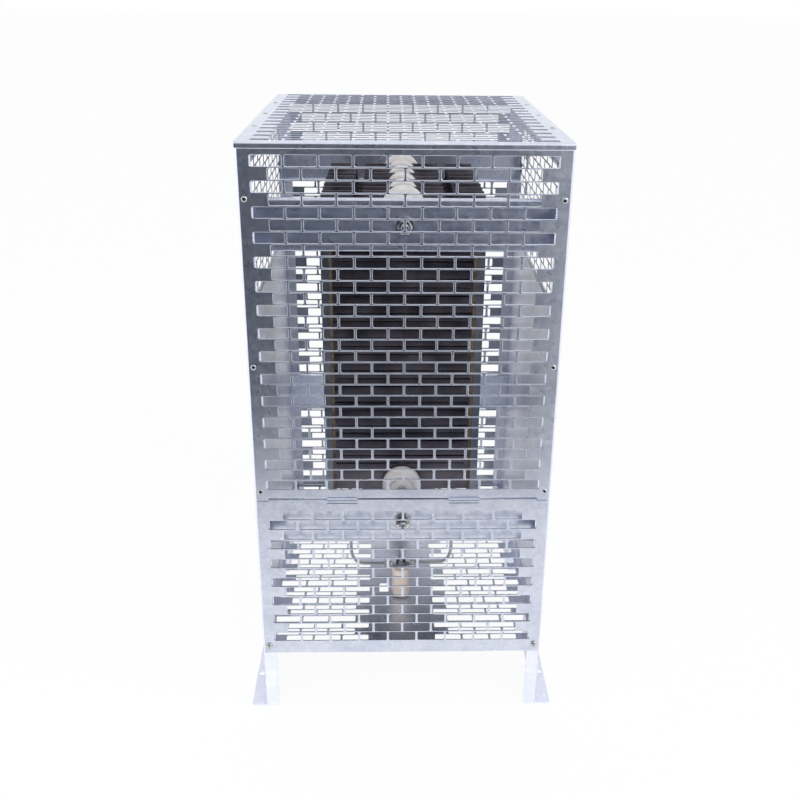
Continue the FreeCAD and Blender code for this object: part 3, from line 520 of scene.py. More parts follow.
@dataclass
class FlatSheet:
    """A sheet-metal blank with its cut-outs, thickness and bends.

    Attributes:
        outline: the blank's outer loop.
        holes: the loops cut out of it.
        thickness: of the sheet.
        edge: width of the slanted facet that shearing and zinc leave along every edge.
        bends: in the order they are made.
        edge_slope: depth of that facet for its width.
        bend_steps: flat strips in each bend.
    """

    outline: Loop
    holes: list[Loop]
    thickness: float
    edge: float = 0.5
    bends: tuple[Bend, ...] = ()
    edge_slope: float = 0.55
    bend_steps: int = 6

    def mesh(self) -> Form:
        """Cut the blank, give it its thickness and edges, and fold it."""
        loops = [self.outline if signed_area(self.outline) > 0 else self.outline[::-1]]
        loops += [hole if signed_area(hole) < 0 else hole[::-1] for hole in self.holes]
        form = bmesh.new()
        half = self.thickness / 2
        front = ((half, self.edge), (half - self.edge_slope * self.edge, 0.0))
        layers = front + tuple((-height, inset) for height, inset in reversed(front))
        rings = [
            [[form.verts.new((x, y, height)) for x, y in shifted(loop, inset)] for loop in loops]
            for height, inset in layers
        ]
        for upper, lower in zip(rings, rings[1:]):
            for above, below in zip(upper, lower):
                for index in range(len(above)):
                    form.faces.new((above[index - 1], below[index - 1], below[index], above[index]))
        for level in (rings[0], rings[-1]):
            points = [vert for ring in level for vert in ring]
            for corners in tessellate_polygon([[vert.co for vert in ring] for ring in level]):
                chosen = [points[corner] for corner in corners]
                if len(set(chosen)) == 3 and form.faces.get(chosen) is None:
                    form.faces.new(chosen)
        bmesh.ops.recalc_face_normals(form, faces=form.faces)
        self.fold(form)
        return form

    def fold(self, form: Form) -> None:
        """Cut fold lines into the blank, then bend it along them."""
        for bend in self.bends:
            normal, point = [0.0, 0.0, 0.0], [0.0, 0.0, 0.0]
            normal[bend.axis] = 1.0
            for step in range(self.bend_steps + 1):
                length = bend.arc(self.thickness) * step / self.bend_steps
                point[bend.axis] = bend.start + bend.onward * length
                parts = [*form.verts, *form.edges, *form.faces]
                bmesh.ops.bisect_plane(form, geom=parts, dist=WELD, plane_co=point, plane_no=normal)
        flat = [vert.co.xy.copy() for vert in form.verts]
        for bend in self.bends:
            for vert, place in zip(form.verts, flat):
                if bend.takes(place.x, place.y):
                    vert.co = bend.moved(vert.co, self.thickness)


class Facing(Enum):
    """Which way a flat sheet looks: the directions of its width, its height and its face."""

    FRONT = ((1, 0, 0), (0, 0, 1), (0, -1, 0))
    REAR = ((-1, 0, 0), (0, 0, 1), (0, 1, 0))
    LEFT = ((0, -1, 0), (0, 0, 1), (-1, 0, 0))
    RIGHT = ((0, 1, 0), (0, 0, 1), (1, 0, 0))
    UP = ((1, 0, 0), (0, 1, 0), (0, 0, 1))

    def at(self, distance: float) -> Matrix:
        """Give the transform of a sheet whose middle plane lies this far out from the origin."""
        matrix = Matrix(self.value).transposed().to_4x4()
        matrix.translation = Vector(self.value[2]) * distance
        return matrix


def stand(form: Form, matrix: Matrix) -> Form:
    """Move a mesh to where it stands."""
    bmesh.ops.transform(form, matrix=matrix, verts=form.verts)
    return form


def join(forms: Iterable[Form]) -> Form:
    """Put several meshes into one; they are used up."""
    whole = bmesh.new()
    for form in forms:
        part = bpy.data.meshes.new("part")
        form.to_mesh(part)
        form.free()
        whole.from_mesh(part)
        bpy.data.meshes.remove(part)
    return whole


def new_object(form: Form, name: str, material: bpy.types.Material) -> bpy.types.Object:
    """Turn a mesh in metres, which is used up, into an object of the scene."""
    mesh = bpy.data.meshes.new(name)
    form.to_mesh(mesh)
    form.free()
    mesh.materials.append(material)
    made = bpy.data.objects.new(name, mesh)
    bpy.context.scene.collection.objects.link(made)
    return made


def finish_piece(
    form: Form, name: str, finish: Finish, *nodes: str, body: Body = Body.CABINET, smooth: bool = True
) -> None:
    """Turn a mesh in millimetres into a dressed piece of the model.

    Args:
        form: the mesh; it is used up.
        name: the piece's name.
        finish: its material.
        nodes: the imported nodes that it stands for.
        body: what it moves with.
        smooth: whether shallow angles are shaded smooth.
    """
    piece = new_object(stand(form, Matrix.Scale(MM, 4)), name, finish.material())
    if smooth:
        piece.data.shade_smooth()
        piece.data.set_sharp_from_angle(angle=SHARP_ANGLE)
    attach(piece, body.value)
    if nodes:
        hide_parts(*nodes)
    LOG.info("%s: %d faces on %s", name, len(piece.data.polygons), body.value)


def finish_sheet(
    blank: FlatSheet,
    place: Matrix,
    finish: Finish,
    node: str,
    body: Body = Body.CABINET,
    ending: str = "sheet",
) -> None:
    """Fold a blank and finish it, flat faces and all, as the piece that replaces one node.

    Args:
        blank: the flat sheet.
        place: where it stands.
        finish: its material.
        node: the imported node.
        body: what it moves with.
        ending: of the piece's name, after the node's.
    """
    finish_piece(stand(blank.mesh(), place), f"{node}_{ending}", finish, node, body=body, smooth=False)


AXES = {
    "X": Matrix(((0, 0, 1), (0, 1, 0), (-1, 0, 0))).to_4x4(),
    "-X": Matrix(((0, 0, -1), (0, 1, 0), (1, 0, 0))).to_4x4(),
    "Y": Matrix(((1, 0, 0), (0, 0, 1), (0, -1, 0))).to_4x4(),
    "-Y": Matrix(((1, 0, 0), (0, 0, -1), (0, 1, 0))).to_4x4(),
    "Z": Matrix.Identity(4),
}


def skin(form: Form, rings: list[list[bmesh.types.BMVert]], ring: bool = False) -> None:
    """Join rings of points with outward faces.

    Args:
        form: the mesh that holds the points.
        rings: each with the same number of points.
        ring: whether the last one joins the first; else both get a cap.
    """
    for low, high in zip(rings, rings[1:] + rings[:1] if ring else rings[1:]):
        for index in range(len(low)):
            form.faces.new((low[index - 1], low[index], high[index], high[index - 1]))
    if not ring:
        form.faces.new(rings[0])
        form.faces.new(rings[-1])
    bmesh.ops.remove_doubles(form, verts=form.verts, dist=WELD)
    bmesh.ops.recalc_face_normals(form, faces=form.faces)


def turned(
    profile: Sequence[Point],
    centre: Place,
    axis: str,
    sides: int = 32,
    shape: Callable[[float, float], float] | None = None,
    ring: bool = False,
) -> Form:
    """Turn a profile about an axis.

    Args:
        profile: pairs of a place along the axis and a radius.
        centre: where the axis starts.
        axis: which way it points.
        sides: faces round the piece.
        shape: gives a radius for a turn and the profile's radius, for a piece that isn't round.
        ring: whether the profile closes on itself, as it does when the piece has a bore.

    Returns:
        The closed mesh.
    """
    form = bmesh.new()
    turns = [math.tau * index / sides for index in range(sides)]
    rings = []
    for along, radius in profile:
        radii = [shape(turn, radius) if shape else radius for turn in turns]
        rings.append([
            form.verts.new((value * math.cos(turn), value * math.sin(turn), along))
            for turn, value in zip(turns, radii)
        ])
    skin(form, rings, ring)
    return stand(form, Matrix.Translation(Vector(centre)) @ AXES[axis])


def hex_nut(flats: float, bore: float, height: float, centre: Place, axis: str) -> Form:
    """Make a hexagon nut with both faces chamfered.

    Args:
        flats: width across flats.
        bore: diameter of the hole.
        height: of the nut.
        centre: middle of its lower face.
        axis: which way it is stacked.

    Returns:
        The mesh.
    """
    form = bmesh.new()
    sides, sixth, chamfer = 36, math.pi / 3, math.radians(30)
    face, hole = flats / 2 * 0.95, bore / 2
    rings: list[list[bmesh.types.BMVert]] = [[] for _ in range(6)]
    for index in range(sides):
        turn = math.tau * index / sides
        corner = flats / 2 / math.cos(turn % sixth - sixth / 2)
        drop = (corner - face) * math.tan(chamfer)
        levels = [
            (0.0, hole), (0.0, face), (drop, corner), (height - drop, corner), (height, face), (height, hole),
        ]
        for ring, (along, radius) in zip(rings, levels):
            ring.append(form.verts.new((radius * math.cos(turn), radius * math.sin(turn), along)))
    skin(form, rings, True)
    return stand(form, Matrix.Translation(Vector(centre)) @ AXES[axis])


def washer(diameter: float, bore: float, height: float, centre: Place, axis: str) -> Form:
    """Make a flat washer with softened rims, starting at its centre point."""
    soft = 0.3
    outer, inner = diameter / 2, bore / 2
    profile = [
        (0, inner), (0, outer - soft), (soft, outer), (height - soft, outer), (height, outer - soft),
        (height, inner),
    ]
    return turned(profile, centre, axis, 40, ring=True)


def threaded(
    diameter: float, low: float, high: float, centre: Place, axis: str, pitch: float = 1.5
) -> Form:
    """Make a rod that carries thread ridges between two places on its axis."""
    crest, root = diameter / 2, diameter / 2 - 0.55 * pitch
    profile: list[Point] = [(low, root)]
    place = low + pitch / 2
    while place < high - pitch / 2:
        profile += [(place, crest), (place + pitch / 2, root)]
        place += pitch
    profile.append((high, root * 0.9))
    return turned(profile, centre, axis, 24)


@dataclass(frozen=True)
class Bricks:
    """The punched pattern of brick-shaped air slots that all panels share.

    Attributes:
        pitch: brick to brick along a row.
        row: row to row.
        web: metal between two slots of a row.
        row_web: metal between two rows.
        corner: radius of a slot's corners.
    """

    pitch: float = 40.0
    row: float = 15.0
    web: float = 3.0
    row_web: float = 1.9
    corner: float = 2.0

    def slot(self, x: float, z: float) -> Loop:
        """Give one slot around its middle."""
        wide, high = (self.pitch - self.web) / 2, (self.row - self.row_web) / 2
        return rounded(rectangle(x - wide, z - high, x + wide, z + high), self.corner, 3)

    def rows(self, first: float, count: int, longer: int = 9, start_long: bool = True) -> list[Loop]:
        """Give rows of slots, centred, with every second row shorter by one brick.

        Args:
            first: middle of the first row; the others lie below it.
            count: number of rows.
            longer: bricks in the longer rows.
            start_long: whether the first row is a longer one.

        Returns:
            All slots.
        """
        made = []
        for index in range(count):
            bricks = longer if (index % 2 == 0) == start_long else longer - 1
            for number in range(bricks):
                made.append(self.slot((number - (bricks - 1) / 2) * self.pitch, first - index * self.row))
        return made


BRICKS = Bricks()
WINDOW_BRICKS = Bricks(web=2.8, row_web=2.0)
FIRST_ROW = 783.5


@dataclass
class Panels:
    """The five punched sheets of the cabinet.

    Attributes:
        half: half the width of the upright panels.
        top_half: half the width of the top cover, which laps over the side walls.
        sheet: thickness of the upright panels and the floor plate.
        top_sheet: thickness of the top cover.
        top_flange: height of the top cover's folded edges.
        seam: gap between them and the front panel's upper edge.
        bend_radius: inner radius of the folded lower edges.
        inner_half: half the width of the front panel's folded edge, at front_bottom.
        corner_bottom: lower edge of the front panel beside it.
        turned_in: depth of the folded strip of the front panel and of the cover.
        tab_slit: height of the cover's slit under a hook tab.
        cover_row: the cover's first row of slots, counted down from the front panel's.
        cover_corner: where the cover's lower corners begin, for the side walls' folds.
        lip_drop: how far the cover's folded lip lies under its lower edge.
        strips: half the floor plate's closed strip, for even and odd rows.
        plate_shift: how far the floor plate's rows lie behind the middle.
        cable_hole: left, front, right and rear edge of its cable hole.
    """

    half: float = 192.4
    top_half: float = 195.0
    sheet: float = 1.3
    top_sheet: float = 1.0
    top_flange: float = 7.5
    top_radius: float = 2.4
    top_first_row: float = 225.0
    top_rows: int = 31
    seam: float = 0.1
    bend_radius: float = 1.2
    front_rows: int = 29
    inner_half: float = 177.0
    front_bottom: float = 343.0
    corner_bottom: float = 341.0
    turned_in: float = 12.0
    tab_width: float = 40.0
    tab_middle: float = 80.0
    tab_bottom: float = 338.8
    tab_edge: float = 0.3
    tab_slit: float = 2.6
    cover_row: int = 31
    cover_rows: int = 14
    cover_top: float = 342.3
    cover_corner_top: float = 339.7
    cover_corner: float = 176.0
    cover_bottom: float = 96.5
    lip_half: float = 130.0
    lip_drop: float = 1.5
    screw_hole: float = 5.8
    rear_rows: int = 45
    plate_radius: float = 1.0
    plate_rows: int = 30
    plate_bricks: int = 3
    strips: Point = (48.0, 68.0)
    plate_shift: float = 6.0
    cable_hole: Edges = (-33.0, -100.0, -19.0, -78.0)

    def top_cover(self) -> None:
        """Top cover: bricks, with its front and rear edges rolled down."""
        sheet, radius = self.top_sheet, self.top_radius
        start, length = unfolded(DEPTH, self.top_flange, sheet, radius)
        outline = rounded(rectangle(-self.top_half, -length, self.top_half, length), 1.0)
        bends = (Bend(1, start, 1, 90, radius), Bend(1, -start, -1, 90, radius))
        holes = BRICKS.rows(self.top_first_row, self.top_rows)
        blank = FlatSheet(outline, holes, sheet, edge=0.2, bends=bends)
        finish_sheet(blank, Facing.UP.at(HEIGHT - sheet / 2), GALVANISED, "top_cover")

    def lower_edge(self, edge: float, half: float, notch: float, corner: float) -> tuple[Bend, Loop]:
        """Plan a lower edge whose middle is folded back, with a notch at each end of the fold.

        Args:
            edge: height of the folded strip's underside.
            half: half the width of the strip.
            notch: width of a notch.
            corner: height of the sheet's edge beside the notches.

        Returns:
            The bend, and the right half of the outline up to the sheet's side.
        """
        start, low = (-value for value in unfolded(-edge, self.turned_in, self.sheet, self.bend_radius))
        bend = Bend(1, start, -1, 90, self.bend_radius, lambda x, z: abs(x) < half + 0.2)
        top, out = start + 0.5, half + notch
        return bend, [(half, low), (half, top), (out, top), (out, corner), (self.half, corner)]

    def front_panel(self) -> None:
        """Upper front panel: bricks, a lower edge folded back and two hook tabs."""
        fold, right = self.lower_edge(
            self.front_bottom, self.inner_half, notch=1.2, corner=self.corner_bottom
        )
        right.append((self.half, HEIGHT - self.top_flange - self.seam))
        holes = BRICKS.rows(FIRST_ROW, self.front_rows)
        blank = FlatSheet(mirrored(right) + right, holes, self.sheet, bends=(fold,))
        forms = [stand(blank.mesh(), Facing.FRONT.at(DEPTH - self.sheet / 2))]
        forms += [self.tab(side * self.tab_middle) for side in SIDES]
        finish_piece(join(forms), "front_panel_sheet", GALVANISED, "front_panel", smooth=False)

    def tab(self, middle: float) -> Form:
        """Make one hook tab, joggled out over the cover's upper edge."""
        half, rise, sheet = self.tab_width / 2, self.front_bottom, self.sheet
        back = COVER_FACE + 1.5
        line = [
            (-DEPTH, rise + sheet), (-DEPTH + 0.2, rise - 0.1), (-back, rise - 1.6), (-back, self.tab_bottom),
            (-back - sheet, self.tab_bottom), (-back - sheet, rise - 1.2), (-back - 0.9, rise + 0.1),
            (-DEPTH - 0.6, rise + sheet),
        ]
        form = bmesh.new()
        skin(form, [[form.verts.new((middle + side * half, y, z)) for y, z in line] for side in SIDES])
        edges = [edge for edge in form.edges if edge.calc_face_angle(0) > SHARP_ANGLE]
        bmesh.ops.bevel(form, geom=edges, offset=self.tab_edge, segments=1, affect="EDGES")
        return form

    def terminal_cover(self) -> None:
        """Lower front cover: bricks, screw holes and a lip folded back under the floor plate."""
        fold, right = self.lower_edge(
            self.cover_bottom - self.lip_drop, self.lip_half, notch=1.5, corner=self.cover_bottom
        )
        right += [
            (self.half, self.cover_corner_top), (self.cover_corner, self.cover_corner_top),
            (self.cover_corner, self.cover_top),
        ]
        holes = BRICKS.rows(FIRST_ROW - self.cover_row * BRICKS.row, self.cover_rows, start_long=False)
        slit, wide = self.tab_bottom + 0.2, self.tab_width / 2
        for side in SIDES:
            middle = side * self.tab_middle
            holes.append(rectangle(middle - wide, slit - self.tab_slit, middle + wide, slit))
            holes.append(circle(side * COVER_SCREW[0], COVER_SCREW[1], self.screw_hole))
        blank = FlatSheet(mirrored(right) + right, holes, self.sheet, bends=(fold,))
        place = Facing.FRONT.at(COVER_FACE - self.sheet / 2)
        finish_sheet(blank, place, GALVANISED, "terminal_cover", Body.COVER)

    def rear_panel(self) -> None:
        """Rear panel: bricks from top to bottom."""
        low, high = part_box("rear_panel")
        outline = rounded(rectangle(-self.half, low.z / MM, self.half, high.z / MM), 1.0)
        blank = FlatSheet(outline, BRICKS.rows(FIRST_ROW, self.rear_rows), self.sheet)
        # The darker zinc here is painted shade of the cabinet's inside.
        finish_sheet(blank, Facing.REAR.at(DEPTH - self.sheet / 2), REAR_ZINC_PAINTED_SHADE, "rear_panel")

    def bottom_plate(self) -> None:
        """Floor of the terminal space: bricks on both sides of a closed strip, sides folded up."""
        low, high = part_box("bottom_plate")
        deep, tall = high.y / MM, (high.z - low.z) / MM
        radius = self.plate_radius
        start, length = unfolded(high.x / MM, tall, self.sheet, radius)
        holes = []
        for index in range(self.plate_rows):
            y = (index - (self.plate_rows - 1) / 2) * BRICKS.row + self.plate_shift
            for number in range(self.plate_bricks):
                middle = self.strips[index % 2] + (BRICKS.pitch - BRICKS.web) / 2 + number * BRICKS.pitch
                holes += [BRICKS.slot(side * middle, y) for side in SIDES]
        holes.append(rounded(rectangle(*self.cable_hole), 1.5))
        bends = (Bend(0, start, 1, -90, radius), Bend(0, -start, -1, -90, radius))
        blank = FlatSheet(rectangle(-length, -deep, length, deep), holes, self.sheet, bends=bends)
        finish_sheet(blank, Facing.UP.at(low.z / MM + self.sheet / 2), GALVANISED, "bottom_plate")

    def build(self) -> None:
        """Make all five."""
        self.top_cover()
        self.front_panel()
        self.terminal_cover()
        self.rear_panel()
        self.bottom_plate()


@dataclass
class SideWalls:
    """The two side walls with their legs and feet, and the punched sheets in their windows.

    Attributes:
        outer: outer face of a wall, from the middle of the cabinet.
        depth: half the wall's depth.
        fold_width: outer width of the upright folds at its front and rear.
        fold_corner: radius of the folds' lower corners.
        leg_inner: half the gap between its two legs, up to leg_height.
        foot: width of a foot flange outside the wall.
        slit: height of the cut between a foot and an upright fold.
        window: front, lower, rear and upper edge of the window.
        bolt_place: a foot's bolt hole, from the middle and from the wall.
        small_place: the small hole of the right front foot, likewise.
        infill_overlap: how far the punched sheet reaches behind the window's edges.
    """

    outer: float = 195.0
    sheet: float = 2.0
    depth: float = 238.5
    top: float = 803.5
    fold_width: float = 18.0
    fold_radius: float = 1.5
    fold_corner: float = 5.0
    leg_inner: float = 98.5
    leg_height: float = 97.0
    foot: float = 21.0
    foot_corner: float = 4.0
    slit: float = 0.6
    window: Edges = (-195.0, 588.0, 195.0, 760.0)
    bolt_hole: float = 9.0
    bolt_place: Point = (170.0, 15.0)
    small_hole: float = 5.0
    small_place: Point = (-221.0, 16.0)
    infill_sheet: float = 0.9
    infill_overlap: float = 7.0
    infill_rows: int = 12
    infill_row_bricks: int = 10
    infill_first_row: float = 759.0

    @property
    def upright(self) -> float:
        """Give where the upright folds start, from the middle of the wall."""
        return self.depth - self.fold_radius - self.sheet

    def in_return(self, along: float, up: float) -> bool:
        """Say whether a point of the blank lies in an upright fold rather than in a foot."""
        return abs(along) > self.upright - 1e-3 and up > -self.slit / 2

    def wall(self, facing: Facing, name: str) -> None:
        """Make one wall from its flat blank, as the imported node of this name."""
        radius, slit = self.fold_radius, self.slit
        upright, edge = unfolded(self.depth, self.fold_width, self.sheet, radius)
        ankle, toe = (-value for value in unfolded(0.0, self.foot + self.sheet, self.sheet, radius))
        bends = (
            Bend(1, ankle, -1, -90, radius, lambda y, z: not self.in_return(y, z)),
            Bend(0, upright, 1, 90, radius, self.in_return),
            Bend(0, -upright, -1, 90, radius, self.in_return),
        )
        neck, end, relief = upright - 0.8, self.depth - 0.2, ankle + 0.6
        corner, fold_corner = self.foot_corner, self.fold_corner
        half = [
            (self.leg_inner, self.leg_height), (self.leg_inner, toe),
            *arc(end - corner, toe + corner, corner, -90, 0, 4),
            (end, -slit), (neck, -slit), (neck, relief), (upright, relief), (upright, 0.0),
            *arc(edge - fold_corner, fold_corner, fold_corner, -90, 0, 4),
            (edge, self.top),
        ]
        root, (along, out) = toe + self.foot, self.bolt_place
        holes = [rounded(rectangle(*self.window), 2.0)]
        holes += [circle(side * along, root - out, self.bolt_hole) for side in SIDES]
        if facing is Facing.RIGHT:
            holes.append(circle(self.small_place[0], root - self.small_place[1], self.small_hole, 12))
        blank = FlatSheet(half + mirrored(half), holes, self.sheet, bends=bends)
        finish_sheet(blank, facing.at(self.outer - self.sheet / 2), SIDE_ZINC, name)

    def infill(self, facing: Facing, name: str) -> None:
        """Make the punched sheet behind one window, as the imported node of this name."""
        left, bottom, right, top = self.window
        over = self.infill_overlap
        outline = rectangle(left - over, bottom - over, right + over, top + over)
        holes = WINDOW_BRICKS.rows(self.infill_first_row, self.infill_rows, self.infill_row_bricks, False)
        blank = FlatSheet(outline, holes, self.infill_sheet, edge=0.2)
        place = facing.at(self.outer - self.sheet - self.infill_sheet / 2)
        finish_sheet(blank, place, INFILL, name, ending="bricks")

    def build(self) -> None:
        """Make both sides."""
        for facing in (Facing.LEFT, Facing.RIGHT):
            word = facing.name.lower()
            self.wall(facing, f"side_wall_{word}")
            self.infill(facing, f"side_mesh_{word}")


@dataclass
class Beams:
    """The four cross beams, folded from sheet, and the hardware of the two tie rods.

    Attributes:
        face: outer face of a beam, from the middle of the cabinet.
        flange: width of its folded edges.
        half: half its length.
        plain_half: half the length of a rod without thread.
        reach: end of a rod, from the middle.
    """

    face: float = 222.0
    height: float = 64.0
    flange: float = 8.0
    fold: float = 0.8
    sheet: float = 2.0
    half: float = 193.0
    rod: float = 10.0
    plain_half: float = 150.0
    reach: float = 235.5
    washer_width: float = 24.0
    washer_sheet: float = 2.5

    def beam(self, name: str, end: End, middle: float) -> None:
        """Make one beam around a rod at this height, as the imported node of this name."""
        start, length = unfolded(self.height / 2, self.flange, self.sheet, self.fold)
        outline = rectangle(-self.half, middle - length, self.half, middle + length)
        bends = tuple(Bend(1, middle + side * start, side, 90, self.fold) for side in (1, -1))
        blank = FlatSheet(outline, [circle(0, middle, ROD_BORE)], self.sheet, edge=0.3, bends=bends)
        finish_sheet(blank, Facing[end.name].at(self.face - self.sheet / 2), GALVANISED, name)

    def hardware(self) -> None:
        """Make the tie rods, washers and nuts."""
        washers, nuts = [], []
        for _, height in RODS:
            for end in End:
                start = (0.0, end.value * self.face, height)
                seat = (0.0, end.value * (self.face + self.washer_sheet), height)
                washers.append(washer(self.washer_width, ROD_BORE, self.washer_sheet, start, end.axis))
                nuts.append(hex_nut(*M10_NUT, seat, end.axis))
        finish_piece(join(washers), "tie_rod_washer_set", BRIGHT_ZINC, "tie_rod_washers")
        finish_piece(join(nuts), "tie_rod_nut_set", BRIGHT_ZINC, "tie_rod_nuts")
        for level, height in RODS:
            centre = (0.0, 0.0, height)
            forms = [turned([(side * self.plain_half, self.rod / 2) for side in SIDES], centre, "Y")]
            forms += [threaded(self.rod, self.plain_half, self.reach, centre, end.axis) for end in End]
            finish_piece(join(forms), f"{level}_rod", BRIGHT_ZINC, f"{level}_tie_rod")

    def build(self) -> None:
        """Make beams and hardware."""
        for level, height in RODS:
            for end in End:
                self.beam(f"{level}_{end.word}_beam", end, height)
        self.hardware()


@dataclass
class Insulators:
    """Ceramic bells and spools on the tie rods, and the nuts that clamp the bells.

    Attributes:
        bell_start: where a bell's rim begins, from the middle of the rod.
        bell: diameter of its rim.
        rim: length of the rim.
        neck: diameter of its neck.
        groove: depth of a spool's groove.
    """

    spool: float = 43.0
    spool_bore: float = 20.6
    spool_width: float = 22.9
    flange: float = 7.6
    groove: float = 7.5
    spool_pitch: float = 50.0
    spool_count: int = 5
    bell_start: float = 113.55
    bell: float = 56.0
    rim: float = 12.0
    neck: float = 34.0
    neck_length: float = 12.0

    def bell_form(self, end: End, height: float) -> Form:
        """Turn one bell: a thick rim with rounded edges, a step and a rounded neck."""
        hole, rim, neck = ROD_BORE / 2, self.bell / 2, self.neck / 2
        last = self.rim + self.neck_length
        profile = [
            (0, hole), (0, rim - 2.5), (0.8, rim - 0.8), (2.5, rim), (self.rim - 5.0, rim),
            (self.rim - 2.2, rim - 1.6), (self.rim - 0.4, rim - 4.8), (self.rim, rim - 7.0),
            (self.rim, neck + 1.5), (self.rim + 1.2, neck), (last - 2.5, neck), (last - 0.8, neck - 0.9),
            (last, neck - 2.8), (last, hole),
        ]
        return turned(profile, (0, end.value * self.bell_start, height), end.axis, 48, ring=True)

    def spool_form(self, index: int, height: float) -> Form:
        """Turn one spool of a row: two flanges with a deep groove between them."""
        hole, rim, width = self.spool_bore / 2, self.spool / 2, self.spool_width
        waist = rim - self.groove
        left = [
            (0, hole), (0, rim - 3.0), (0.9, rim - 1.0), (3.0, rim), (self.flange - 1.4, rim),
            (self.flange - 0.3, rim - 1.2), (self.flange, waist + 1.0), (self.flange + 0.9, waist),
        ]
        profile = left + [(width - along, radius) for along, radius in reversed(left)]
        y = (index - (self.spool_count - 1) / 2) * self.spool_pitch
        return turned(profile, (0, y - width / 2, height), "Y", 48, ring=True)

    def build(self) -> None:
        """Make bells, spools and clamp nuts."""
        nuts = []
        for level, height in RODS:
            for end in End:
                name = f"{level}_{end.word}_bell"
                finish_piece(self.bell_form(end, height), name, STEATITE, f"{name}_insulator")
                seat = (0.0, end.value * (self.bell_start + self.rim + self.neck_length), height)
                nuts.append(hex_nut(*M10_NUT, seat, end.axis))
            spools = join(self.spool_form(index, height) for index in range(self.spool_count))
            finish_piece(spools, f"{level}_spools", STEATITE, f"{level}_spool_insulators")
        finish_piece(join(nuts), "bell_nut_set", BRIGHT_ZINC, "bell_clamp_nuts")


@dataclass
class Packet:
    """The ten resistor grids, each one steel sheet slit into a meander.

    Attributes:
        half: half a grid's width.
        end_bar: height of the uncut bar at its upper and lower end.
        bar: slit to slit.
        slit: height of a slit at its open end.
        turn: metal left at a slit's closed end.
        sleeve: radius of the rod slots' round ends.
        notch: middle, width and depth of a lifting notch.
    """

    count: int = 10
    pitch: float = 25.0
    sheet: float = 1.5
    half: float = 106.0
    top: float = 718.5
    end_bar: float = 30.0
    bar: float = 12.0
    slit: float = 2.4
    turn: float = 16.0
    sleeve: float = 10.3
    notch: Triple = (60.0, 12.5, 25.0)

    def outline(self) -> Loop:
        """Give a grid's outline, with its rod slots and lifting notches."""
        upper, lower = (height for _, height in RODS)
        sleeve, bottom, top = self.sleeve, PACKET_BOTTOM, self.top
        middle, wide, deep = self.notch
        low, high = middle - wide / 2, middle + wide / 2
        right = [
            *arc(0.0, lower, sleeve, 75, 0, 5), (sleeve, bottom), (self.half, bottom), (self.half, top),
            (high, top), *arc(middle, top - deep + wide / 2, wide / 2, 0, -180, 8), (low, top),
            (sleeve, top), *arc(0.0, upper, sleeve, 0, -75, 5),
        ]
        return [*right, (0.0, upper - sleeve), *mirrored(right), (0.0, lower + sleeve)]

    def slits(self) -> list[Loop]:
        """Give the meander's slits, each widest at its open end."""
        made = []
        count = int((self.top - PACKET_BOTTOM - 2 * self.end_bar) / self.bar)
        wide, narrow = self.slit / 2, self.slit / 4
        for index in range(count + 1):
            side = 1 if index % 2 == 0 else -1
            z = PACKET_BOTTOM + self.end_bar + index * self.bar
            start, end = side * (self.half - 3.0), -side * (self.half - self.turn)
            made.append([(start, z - wide), (start, z + wide), (end, z + narrow), (end, z - narrow)])
        return made

    def build(self) -> None:
        """Make every grid, each flipped against the one before."""
        for index in range(self.count):
            form = FlatSheet(self.outline(), self.slits(), self.sheet, edge=0.15).mesh()
            if index % 2:
                stand(form, Matrix.Scale(-1, 4, (1, 0, 0)))
                bmesh.ops.reverse_faces(form, faces=form.faces)
            stand(form, Facing.FRONT.at(((self.count - 1) / 2 - index) * self.pitch))
            name = f"resistor_grid_{index + 1:02d}"
            finish_piece(form, f"{name}_meander", HEATED_STEEL, name)


